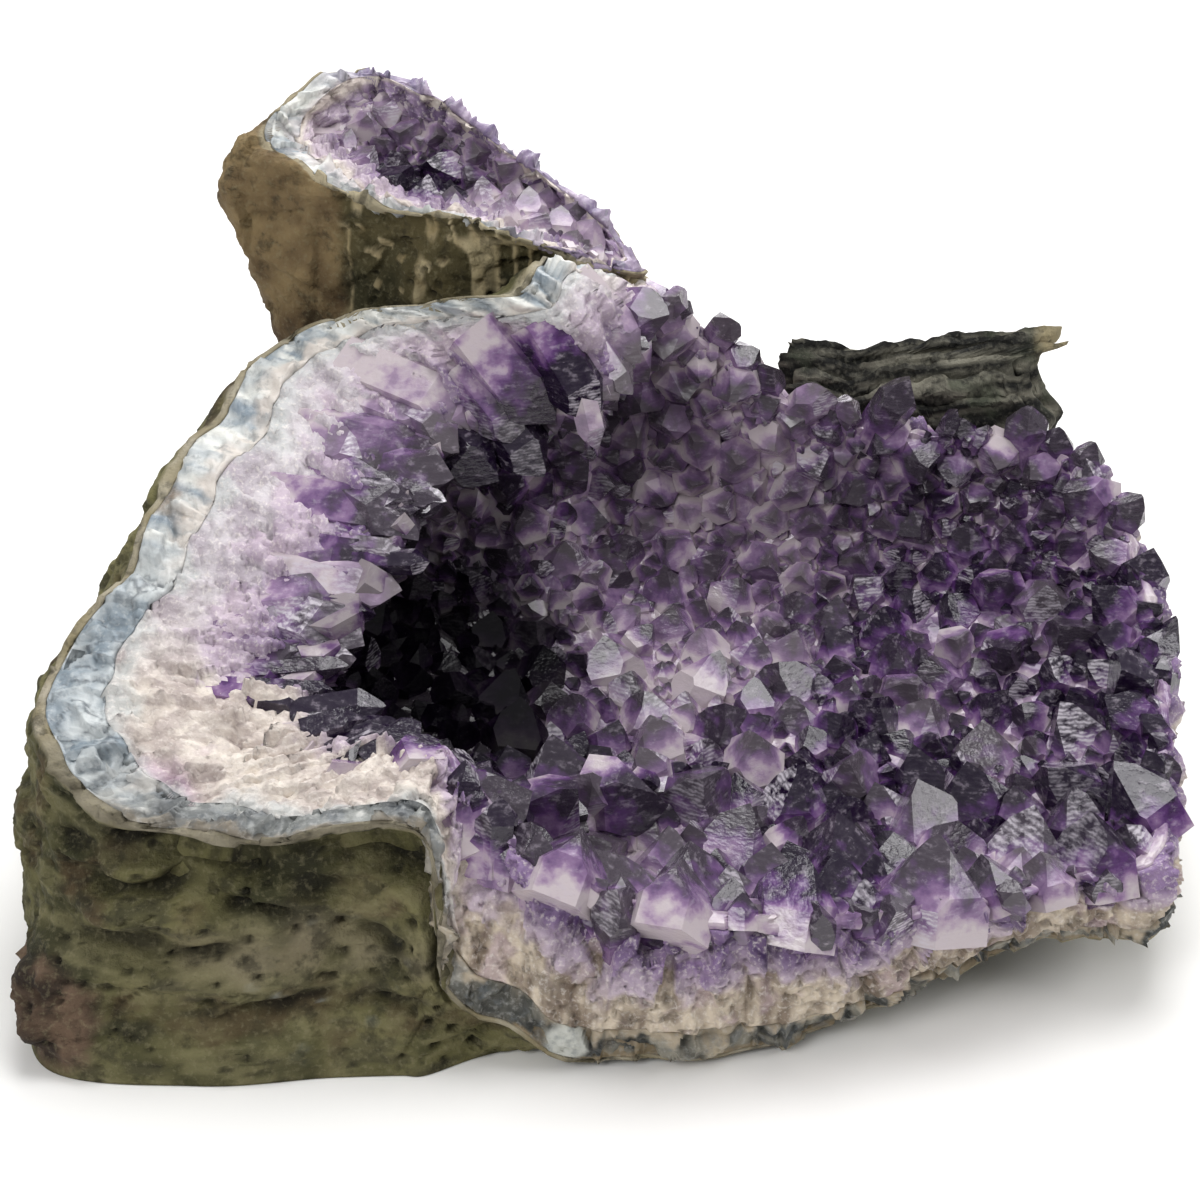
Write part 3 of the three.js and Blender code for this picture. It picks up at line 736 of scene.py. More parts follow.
@dataclass(frozen=True)
class GemFinish(Finish):
    """Amethyst: hard glassy faces, milky at the root and deep violet inside the tip.

    The colour goes with the rise along each crystal, moved by its own tone, and clouds and veils
    lie inside; growth steps ripple the faces, so that glints break up.
    """

    root: str = "#d6c9ce"
    lilac: str = "#a17fab"
    violet: str = "#603678"
    deep: str = "#1b0a29"
    veil: str = "#d3c6d6"
    painted_glint_colour: str = "#ddd6e0"
    painted_shade_colour: str = "#050308"
    stops: tuple[tuple[float, float], ...] = ((-0.05, 0.2), (0.12, 0.38), (0.34, 0.6))
    cloud_mm: float = 8.0
    line_mm: float = 1.1
    step_mm: float = 3.6
    step_depth_mm: float = 0.25
    see_through: float = 0.3
    roughness: float = 0.06

    def surface(self, tree: NodeTree, place: NodeSocket) -> Node:
        """Three mixes along the rise, then pale crystals, veils, painted glints, painted shade in
        the cave.
        """
        rise, tone, painted_shade, painted_glint_share = (
            add(tree, "Attribute", attribute_name=name).outputs["Fac"]
            for name in ("rise", "tone", "painted_shade", "painted_glint_share")
        )
        drawn = add(tree, "VectorMath", {0: place, 1: (1.0, 1.0, 1.8)}, operation="MULTIPLY")
        cloud, steps = (
            add(tree, "TexNoise", {"Vector": at, "Scale": per(size), "Detail": 4.0,
                                   "Roughness": uneven}).outputs["Fac"]
            for at, size, uneven in (
                (place, self.cloud_mm, 0.5), (drawn.outputs[0], self.step_mm, 0.62),
            )
        )
        lines = add(tree, "TexWave", {
            "Vector": place, "Scale": per(3.2 * self.line_mm), "Distortion": 5.0, "Detail": 2.0,
            "Detail Scale": 1.2,
        }, bands_direction="Z").outputs["Fac"]
        sway, veils, glint_patches, glint_streaks = (
            add(tree, "MapRange", {"Value": source, "From Min": low, "From Max": high,
                                   "To Min": least, "To Max": most}).outputs["Result"]
            for source, low, high, least, most in (
                (cloud, 0.3, 0.7, -0.28, 0.28), (steps, 0.56, 0.75, 0.0, 0.45),
                (steps, 0.4, 0.58, 0.0, 1.0), (lines, 0.25, 0.75, 0.4, 1.0),
            )
        )
        level = add(tree, "Math", {0: rise, 1: sway}, operation="ADD").outputs[0]
        level = add(tree, "Math", {0: tone, 1: -0.5, 2: level}, operation="MULTIPLY_ADD").outputs[0]
        milk, painted_glint = (
            add(tree, "Math", {0: left, 1: right}, operation="MULTIPLY").outputs[0]
            for left, right in ((tone, 0.45), (glint_patches, glint_streaks))
        )
        # painted glint: pale streaked patches on the few faces picked for it
        painted_glint = add(tree, "Math", {0: painted_glint, 1: painted_glint_share}, operation="MULTIPLY").outputs[0]
        stops = [
            add(tree, "MapRange", {"Value": level, "From Min": low, "From Max": high}).outputs[0]
            for low, high in self.stops
        ]
        # the coats end with painted glints and, last, painted shade in the cave
        colour = self.root
        for share, over in zip(
            (*stops, milk, veils, painted_glint, painted_shade),
            (self.lilac, self.violet, self.deep, self.root, self.veil, self.painted_glint_colour, self.painted_shade_colour),
        ):
            colour = add(tree, "Mix", {0: share, 6: colour, 7: over}, data_type="RGBA").outputs[2]
        # painted shade in the cave also dims the reflections
        gloss = add(tree, "MapRange", {"Value": painted_shade, "To Min": 0.5, "To Max": 0.06}).outputs[0]
        ripple = self.step_depth_mm * MM
        normal = add(tree, "Bump", {"Height": steps, "Distance": ripple}).outputs[0]
        return add(tree, "BsdfPrincipled", {
            "Base Color": colour, "Roughness": self.roughness, "Normal": normal, "IOR": 1.544,
            "Transmission Weight": self.see_through, "Specular IOR Level": gloss,
        })


@dataclass(frozen=True)
class PlainFinish(Finish):
    """A plain matt surface, for the studio alone."""

    colour: str = "#f4f3f1"

    def surface(self, tree: NodeTree, place: NodeSocket) -> Node:
        """One colour."""
        return add(tree, "BsdfPrincipled", {"Base Color": self.colour, "Roughness": 0.9})


# Weathered vesicular basalt: matt, gritty, dull green to brown.
BASALT_SKIN = StoneFinish("weathered_basalt", grain_mm=1.8, grain_depth_mm=0.5, rough_mm=8,
                          rough_depth_mm=2.4, dark="#17150e", pale="#8b8467", speck=0.55, fleck=0.3)
# Chalcedony broken across its bands: waxy, with chipped ripples.
CHALCEDONY = StoneFinish("waxy_chalcedony", grain_mm=1.5, grain_depth_mm=0.15, rough_mm=5,
                         rough_depth_mm=0.7, dark="#5f666c", pale="#d5d5d1", speck=0.45, fleck=0.22,
                         roughness=0.38, gloss=0.5)
# Massive quartz broken across its grains: sugary, pitted, with small bright flecks.
SUGAR_QUARTZ = StoneFinish("sugary_milky_quartz", grain_mm=1.4, grain_depth_mm=0.35, rough_mm=4,
                           rough_depth_mm=0.9, dark="#7b6a70", pale="#e9e2db", speck=0.25,
                           fleck=0.5, roughness=0.5, gloss=0.5)
# Basalt that splits in thin sheets: matt, with dusty grey edges.
SPLIT_BASALT = StoneFinish("laminated_basalt", grain_mm=1.6, grain_depth_mm=0.4, rough_mm=5,
                           rough_depth_mm=1.0, dark="#0a0a08", pale="#6f6d61", speck=0.7, fleck=0.3,
                           roughness=0.8)
AMETHYST = GemFinish("glassy_amethyst")
FLOOR = PlainFinish("studio_floor")


# ---------------------------------------------------------------- parts of the stone


def dress(piece: Object, finish: Finish, node: str) -> None:
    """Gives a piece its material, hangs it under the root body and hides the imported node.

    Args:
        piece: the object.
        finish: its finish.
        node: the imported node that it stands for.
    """
    piece.data.materials.append(bpy.data.materials.get(finish.name) or finish.material())
    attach(piece, "root")
    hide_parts(node)
    triangles = sum(len(face.vertices) - 2 for face in piece.data.polygons)
    LOG.info("%s: %d triangles", piece.name, triangles)


@dataclass(frozen=True)
class Pocket:
    """A hollow (positive depth) or ridge of the front rock face, with radii along x, y, z in mm."""

    at: tuple[float, float, float]
    radii: tuple[float, float, float]
    depth: float


FACE_POCKETS = (
    Pocket((-104, -97, 61), (10, 18, 3.4), 7.5),
    Pocket((-117, -97, 53), (11, 18, 3.2), 7.0),
    Pocket((-136, -96, 52), (10, 18, 3.0), 6.0),
    Pocket((-148, -92, 60), (6, 18, 3.4), 4.0),
    Pocket((-128, -97, 66), (13, 18, 2.4), 4.5),
    Pocket((-101, -98, 48), (3, 14, 2.8), 6.5),
    Pocket((-88, -99, 46), (7, 16, 1.7), 4.5),
    Pocket((-74, -97, 53), (10, 16, 3.0), 4.5),
    Pocket((-58, -98, 60), (9, 16, 2.6), 4.0),
    Pocket((-60, -98, 38), (6, 16, 2.4), 3.5),
    Pocket((-130, -99, 38), (13, 16, 2.6), 4.5),
    Pocket((-108, -101, 36), (9, 16, 2.0), 3.5),
    Pocket((-84, -102, 22), (12, 16, 1.8), 2.5),
    Pocket((-56, -101, 20), (8, 16, 1.8), 2.5),
    Pocket((-120, -100, 44), (18, 16, 2.6), -3.4),
    Pocket((-106, -97, 67), (13, 16, 2.4), -2.6),
    Pocket((-124, -97, 58), (11, 16, 2.2), -2.6),
    Pocket((-112, -100, 29), (20, 16, 2.8), -2.2),
    Pocket((-90, -104, 3), (14, 12, 8), -3.5),
    Pocket((-120, -102, 4), (20, 12, 7), -2.5),
)


@dataclass
class RockSkin:
    """The basalt skin of one bowl."""

    bowl: Bowl
    name: str
    columns: int
    outside_rows: int

    UMBER_AT = (-152, -92, 15)  # the brown lump at the left foot, in mm
    WAVES, FACETS, CRACKS, GRAIN, PITS, DRIPS = 2.6, 4.6, 0.3, 2.2, 2.0, 0.45  # relief in mm
    UNDER_LIP = 5.0  # how deep the groove under the lip is, in mm

    def relief(self, shell: Shell) -> tuple[Array, dict[str, Array]]:
        """Fine relief: broken facets, fractal noise, pits, the front face's pockets, the drips.

        Args:
            shell: the rings to work on.

        Returns:
            Heights in mm, and the shares that colouring needs: pit, hollow (painted shade of the
            pockets and of the groove under the lip), drip and crack.
        """
        p = shell.points
        outside = smooth(0.01, 0.0, shell.w) * smooth(FLAT_TO_V, 0.42, shell.v)
        bent = p + 6 * fractal(p, 30, 2, 3)[..., None]
        near, next_near, facet, _ = cells(bent, 20.0, 11)
        crack = smooth(0.10, 0.0, next_near - near)
        small, _, _, chance = cells(p * np.array([1, 1, 1.4]), 7.5, 29)
        pit = smooth(0.30, 0.14, small) * smooth(0.45, 0.6, chance)
        tiny, _, _, luck = cells(p * np.array([0.8, 1, 1.3]), 4.2, 37)
        pit = np.maximum(pit, 0.8 * smooth(0.34, 0.2, tiny) * smooth(0.7, 0.8, luck))
        height = self.WAVES * fractal(p, 24.0, 4, 5) + self.FACETS * facet - self.CRACKS * crack
        gritty = fractal(p * np.array([0.6, 0.6, 1.6]), 8.0, 4, 7)
        height += self.GRAIN * gritty - self.PITS * pit
        hollow = np.zeros_like(height)
        drip = np.zeros_like(height)
        if self.bowl.is_main:
            warped = p + 3.2 * np.stack([fractal(p, 11.0, 2, k) for k in (301, 302, 303)], -1)
            for pocket in FACE_POCKETS:
                dent = pocket.depth * np.minimum(1, 1.5 * bump(warped, pocket.at, pocket.radii))
                height -= dent
                # pockets get painted shade as well as depth
                hollow += 0.9 * (dent / pocket.depth) ** 1.5 * (pocket.depth > 0)
            under_lip = smooth(0.80, 0.88, shell.v) * smooth(0.985, 0.95, shell.v)
            under_lip = under_lip * shell.window(Stretch.UNDER_LIP)
            height -= self.UNDER_LIP * under_lip
            # the groove under the lip gets painted shadow
            hollow += 0.45 * under_lip
            umber = bump(p, self.UMBER_AT, (17, 24, 15))
            height += umber * (2.0 + 5.0 * fractal(p, 6.0, 3, 311))
            height = height * (1 - 0.6 * smooth(0.95, 1.0, shell.v))
        else:
            front = smooth(128, 112, p[..., 1]) * smooth(-88, -82, p[..., 0])
            hanging = np.abs(lattice_noise(p * np.array([1, 0.3, 0.16]), 5.0, 201))
            upper = smooth(118, 158, p[..., 2] + 16 * lattice_noise(p, 12, 203))
            runs = smooth(0.2, 0.03, hanging) * upper
            bent = p + 2.5 * np.stack([fractal(p, 5.0, 2, k) for k in (207, 208, 209)], -1)
            blob, _, _, pick = cells(bent * np.array([1, 1, 0.7]), 5.0, 205)
            drip = front * np.clip(runs + smooth(0.42, 0.26, blob) * smooth(0.45, 0.6, pick), 0, 1)
            height += self.DRIPS * drip + 1.4 * pit * (1 - front)
            pit = pit * (0.3 + 0.7 * front)
        return height * outside, {"pit": pit, "hollow": hollow, "drip": drip, "crack": crack}

    def dye(self, shell: Shell, marks: dict[str, Array]) -> Array:
        """Colours the skin by place: green-brown, tan streaks, umber lump, brown lobe, pale lip,
        painted shade.

        Args:
            shell: the rings, already raised.
            marks: what relief gave.

        Returns:
            Linear colours on the grid.
        """
        p = shell.points
        x, y, z = p[..., 0], p[..., 1], p[..., 2]
        wave = fractal(p, 30.0, 4, 401)
        fine = fractal(p, 8.0, 3, 403)
        strands = fractal(p * np.array([0.45, 0.45, 1.5]), 7.0, 4, 409)
        if self.bowl.is_main:
            tan = np.clip(1.2 * bump(p, (-84, -100, 34), (44, 40, 9)) * (0.7 + 0.8 * fine), 0, 1)
            foot = 0.5 * smooth(30, 8, z) * smooth(-60, -80, y) * (0.6 + fine)
            spots = smooth(0.25, 0.12, cells(p, 9.0, 407).first)
            blue = spots * bump(p, (-74, -101, 26), (16, 30, 12))
            umber = np.clip(1.6 * bump(p, self.UMBER_AT, (15, 22, 13)), 0, 1)
            umber = smooth(0.25, 0.6, umber + 0.25 * fine)
            lip = smooth(0.975, 0.99, shell.v + 0.012 * fine) * shell.window(Stretch.ROCK_LIP)
            edge = smooth(0.975, 0.995, shell.v)
            colour = coated(
                dyed(0.5 + 1.0 * wave + 0.6 * fine, "#33331c", "#6e6a45"),
                (smooth(0.1, 0.6, fractal(p, 16.0, 4, 405)), "#4c3f2a"),
                (0.6 * smooth(0.1, 0.5, strands), "#7b7654"),
                (0.7 * smooth(-0.1, -0.5, strands), "#26251a"),
                (0.75 * tan, "#837a63"),
                (foot, "#6f6a4c"),
                (0.6 * blue, "#a2abac"),
                (umber, dyed(0.5 + 1.3 * fine, "#2a2019", "#665343")),
                (lip, dyed(0.5 + 1.2 * fine, "#5b5546", "#8b8472")),
                (0.8 * edge * (1 - lip), dyed(0.5 + fine, "#8f8468", "#b3ab9a")),
            )
        else:
            behind = smooth(122, 146, y)
            reach = 3 + 22 * behind
            place = x + (1.5 + 10 * behind) * fine + 14 * behind * wave
            brown = smooth(-85 + reach, -85 - reach, place)
            colour = coated(
                dyed(0.5 + 0.9 * wave, "#2f2e1c", "#5f5537"),
                (brown, dyed(0.5 + 0.8 * wave + 0.6 * fine, "#4a3825", "#83704f")),
                (0.9 * marks["drip"], dyed(0.5 + fine, "#9b8b66", "#c2b491")),
                (0.8 * smooth(0.975, 0.995, shell.v), "#a39a82"),
            )
        # pits and cracks darken; the pockets and the groove under the lip get painted shade
        dark = np.clip(0.7 * marks["pit"] + 0.85 * marks["hollow"] + 0.08 * marks["crack"], 0, 0.92)
        return dyed(dark, colour, "#12100a")

    def build(self) -> Object:
        """Builds the skin as a closed shell that is thicker where it is hidden."""
        rind = Layer.ROCK.value[1]
        rows = profile(
            (0.06, 0, FLAT_TO_V, 0, 4), (FLAT_TO_V, 0, 1, 0, self.outside_rows), (1, 0, 1, rind, 3),
            (1, rind, 0.992, rind, 2), (0.975, 0.26, 0.06, ROCK_HIDDEN_TO, 6),
        )
        shell = Shell(self.bowl, self.columns, rows)
        rim_height, _ = shell.rim_relief()
        height, marks = self.relief(shell)
        on_rim = shell.on_rim[:, None]
        shell.raise_by(np.where(on_rim, rim_height, height))
        piece = shell.patch({"dye": self.dye(shell, marks)}).to_object(self.name, True)
        dress(piece, BASALT_SKIN, "rock_rind")
        return piece


class Layer(Enum):
    """The layers across the broken rim, as shares of the wall: where each starts and ends."""

    ROCK = (0.0, ROCK_TO)
    AGATE = (ROCK_TO + SEAM, AGATE_TO)
    QUARTZ = (AGATE_TO + SEAM, QUARTZ_TO)
    CRUST = (QUARTZ_TO + SEAM, 1.0)


@dataclass
class RimLayer:
    """A layer that shows on both broken rims, built as one piece."""

    main: Bowl
    lobe: Bowl
    main_columns: int
    lobe_columns: int
    name: str
    finish: Finish
    node: str
    slot: str

    def rows(self) -> Array:
        """The (v, w) of each ring, dense on the rim and plain where hidden."""
        raise NotImplementedError

    def carve(self, shell: Shell) -> Array:
        """Raises the shell's relief, and gives its colours."""
        raise NotImplementedError

    def build(self) -> Object:
        """Builds one closed shell in each bowl, and joins and dresses them."""
        patches = []
        for bowl, columns in ((self.main, self.main_columns), (self.lobe, self.lobe_columns)):
            shell = Shell(bowl, columns, self.rows())
            patches.append(shell.patch({"dye": self.carve(shell)}))
        piece = patches[0].joined(patches[1]).to_object(self.name, True)
        dress(piece, self.finish, self.node)
        return piece


@dataclass
class AgateBand(RimLayer):
    """The agate between the rock and the quartz."""

    main_columns: int = 1100
    lobe_columns: int = 420
    name: str = "agate_rim"
    finish: Finish = CHALCEDONY
    node: str = "agate_band"
    slot: str = "agate"

    FLAKES, FACETS, STEPS, ROUGH = 7.0, 1.6, 1.4, 1.6  # relief in mm

    def dye(self, shell: Shell, tone: Array) -> Array:
        """Blue-white in long flakes above, blue-grey along the lip, dark and mottled at the cut.

        Args:
            shell: the rings.
            tone: the random number of each rim facet.

        Returns:
            Linear colours on the grid.
        """
        p, low, high = shell.points, *Layer.AGATE.value
        inwards = (shell.rows[:, 1:2] - low) / (high - low) + 0 * shell.w
        streak = fractal(shell.drawn(7), 3.2, 3, 501)
        mottle = fractal(p, 9.0, 4, 503)
        fade = smooth(0.45, 1.0, inwards + 0.5 * mottle + 0.3 * streak)
        flakes = coated(
            dyed(0.55 + 1.0 * streak + 1.1 * (tone - 0.5), "#818d97", "#dcdcd6"),
            (smooth(0.1, 0.5, mottle) * 0.6, "#6f7b84"),
        )
        if not shell.bowl.is_main:
            return coated(
                flakes,
                (shell.window(Stretch.LOBE_LIP), dyed(0.5 + 1.3 * mottle, "#6f7173", "#aeb0ae")),
                (0.6 * fade, "#cbbfc0"),
                (0.85 * shell.window(Stretch.LOBE_NECK), dyed(0.5 + streak, "#6d5680", "#ab99b2")),
            )
        bruise = smooth(0.3, 0.6, bump(p, (-140, 30, 108), (14, 16, 14)) + 0.3 * mottle)
        lip = coated(
            dyed(0.5 + 1.0 * mottle, "#565a5e", "#8d8f8c"),
            (0.7 * smooth(0.30, 0.16, cells(p, 6.0, 505).first), "#d3d2cd"),
            (0.8 * smooth(0.35, 0.05, inwards + 0.3 * mottle), "#8c8272"),
        )
        veins = np.abs(lattice_noise(p, 7.0, 507) + 0.4 * lattice_noise(p, 3.0, 509))
        patch = coated(
            dyed(0.5 + 1.2 * mottle, "#7d8992", "#b9bebf"),
            (0.75 * smooth(0.14, 0.03, veins), "#444c54"),
        )
        blotch = fractal(p, 4.5, 3, 511)
        cut = coated(
            dyed(0.42 + 1.3 * mottle + 1.1 * blotch + 0.4 * streak, "#232521", "#8f8b7e"),
            (smooth(0.35, 0.7, streak), "#a89c84"),
            (0.85 * smooth(0.6, 0.95, inwards + 0.7 * streak), "#ad9f89"),
            (0.8 * smooth(0.14, 0.03, inwards), "#8f7d5e"),
        )
        dark = smooth(0.3, 0.6, bump(p, (-32, -101, 19), (14, 30, 11)) + 0.35 * blotch)
        pale = smooth(0.3, 0.6, bump(p, (-9, -104, 9), (7, 20, 7)) + 0.2 * mottle)
        return coated(
            flakes,
            (0.8 * fade, "#cdc3ba"),
            (0.8 * bruise, "#6d5a45"),
            (shell.window(Stretch.BLUE_PATCH), patch),
            (shell.window(Stretch.GREY_LIP), lip),
            (shell.window(Stretch.STEP_DOWN), dyed(0.5 + 1.2 * blotch, "#66645f", "#a89c88")),
            (shell.window(Stretch.DARK_CUT), cut),
            (0.85 * dark, "#30322e"),
            (0.9 * pale, "#c4c6bf"),
        )

    def rows(self) -> Array:
        """Rows from the floor out, over the rim and back."""
        low, high = Layer.AGATE.value
        return profile(
            (0.1, ROCK_HIDDEN_TO + 0.01, 0.9, ROCK_HIDDEN_TO + 0.01, 4),
            (0.975, 0.28, 0.992, low, 2),
            (1, low, 1, high, 22),
            (0.99, high, 0.97, 0.34, 2),
            (0.9, ROCK_HIDDEN_TO + 0.05, 0.1, 0.5, 4),
        )

    def carve(self, shell: Shell) -> Array:
        """Flakes drawn out across the wall and small facets, which die down at the borders."""
        low, high = Layer.AGATE.value
        height, tone = shell.rim_relief()
        drawn = shell.drawn(2.4, 5 * lattice_noise(shell.points, 10.0, 43))
        _, _, flake, own = cells(drawn, 7.5, 45)
        facet = cells(shell.points, 4.5, 41).facet
        across = shell.rows[:, 1:2]
        middle = smooth(0.0, 0.015, across - low) * smooth(0.0, 0.012, high - across)
        rough = self.ROUGH * fractal(shell.points, 5.0, 3, 47)
        chips = self.FLAKES * flake + self.FACETS * facet + self.STEPS * (own - 0.5) + rough
        shell.raise_by((height + chips * middle) * shell.on_rim[:, None])
        return self.dye(shell, 0.4 * tone + 0.6 * own)


@dataclass
class QuartzBody(RimLayer):
    """The milky quartz between the agate and the crystals."""

    main_columns: int = 905
    lobe_columns: int = 300
    name: str = "milky_quartz_body"
    finish: Finish = SUGAR_QUARTZ
    node: str = "milky_quartz"
    slot: str = "milky_quartz"

    # Relief in mm: of the broken columns, then of the grains.
    FACETS, STEPS, GROOVES = 9.0, 3.4, 0.5
    CHIPS, CRUMBS, SUGAR = 2.8, 4.0, 1.2

    def dye(self, shell: Shell, inwards: Array, tone: Array) -> Array:
        """Cream near the agate, then pinkish and lilac, and violet next to the crystals.

        Args:
            shell: the rings.
            inwards: share of the way from the agate to the crystals.
            tone: the random number of each rim facet.

        Returns:
            Linear colours on the grid.
        """
        p = shell.points
        mottle = fractal(p, 12.0, 4, 601)
        streak = fractal(shell.drawn(8), 4.0, 3, 603)
        grains = cells(p, 4.0, 605).tone
        cream = dyed(0.5 + 0.9 * (grains - 0.5) + 0.9 * mottle, "#b3a6a0", "#ded4c9")
        lilac = dyed(0.5 + 0.8 * mottle + 0.8 * (tone - 0.5), "#93809a", "#c4b4c0")
        violet = dyed(0.5 + 1.0 * streak + 0.8 * (tone - 0.5), "#452b5c", "#8a7198")
        level = inwards + 0.3 * mottle + 0.45 * (tone - 0.5)
        if not shell.bowl.is_main:
            nearer = level + 0.7 * shell.window(Stretch.LOBE_NECK)
            return coated(
                cream, (smooth(0.1, 0.5, level), lilac), (0.8 * smooth(0.75, 1.1, nearer), violet)
            )
        front = shell.window(Stretch.FRONT_CUT)
        corner = shell.window(Stretch.CREAM_CORNER)
        wall = shell.window(Stretch.LEFT_WALL)
        fibres = fractal(shell.drawn(5), 2.2, 3, 607)
        tan = coated(
            dyed(0.5 + 1.1 * streak + 1.0 * fibres, "#857565", "#d2c4b0"),
            (0.6 * smooth(0.15, 0.5, fractal(p, 6.0, 4, 609)), "#6e6153"),
            (0.6 * smooth(0.2, 0.5, fractal(p, 9.0, 4, 613)), "#b7a1a8"),
        )
        frosted = dyed(0.5 + 0.9 * mottle + 0.6 * (tone - 0.5), "#a99fa8", "#dedadb")
        pink = smooth(0.3, 0.6, bump(p, (-124, -80, 74), (22, 20, 14)) + 0.3 * mottle)
        return coated(
            cream,
            (front, tan),
            (wall, frosted),
            (smooth(0.3, 0.55, level + 0.12 * wall - 0.45 * corner - 0.02 * front), lilac),
            (smooth(0.6, 0.9, level + 0.05 * front - 0.45 * corner), violet),
            (0.75 * pink, dyed(0.5 + 1.2 * streak, "#8f7189", "#c0a6b6")),
            (0.8 * smooth(0.16, 0.0, inwards - 0.2 * mottle) * (1 - front), "#b9bcbb"),
        )

    def rows(self) -> Array:
        """Rows from the floor out, over the rim and back."""
        low, high = Layer.QUARTZ.value
        return profile(
            (0.1, 0.52, 0.9, ROCK_HIDDEN_TO + 0.07, 3),
            (0.97, 0.36, 0.99, low, 2),
            (1, low, 1, high, 72),
            (1, high, 0.1, high, 6),
        )

    def carve(self, shell: Shell) -> Array:
        """Broken columns towards the crystals, over grains of two sizes."""
        p, low, high = shell.points, *Layer.QUARTZ.value
        inwards = np.clip((shell.rows[:, 1:2] - low) / (high - low), 0, 1) + 0 * shell.w
        height, tone = shell.rim_relief()
        column = cells(shell.drawn(3.2, 2 * lattice_noise(p, 8.0, 611)), 8.0, 51)
        groove = smooth(0.16, 0.0, column.second - column.first)
        broken = self.FACETS * column.facet + self.STEPS * (column.tone - 0.5)
        broken = (broken - self.GROOVES * groove) * smooth(0.15, 0.5, inwards)
        small, crumb = cells(p, 4.0, 57), cells(p, 8.5, 59).facet
        grain = self.CHIPS * small.facet + self.CRUMBS * crumb + self.SUGAR * (0.5 - small.first)
        middle = smooth(0.0, 0.02, inwards) * smooth(0.0, 0.02, 1 - inwards)
        shell.raise_by((height + (broken + grain) * middle) * shell.on_rim[:, None])
        return self.dye(shell, inwards, 0.25 * tone + 0.75 * column.tone)


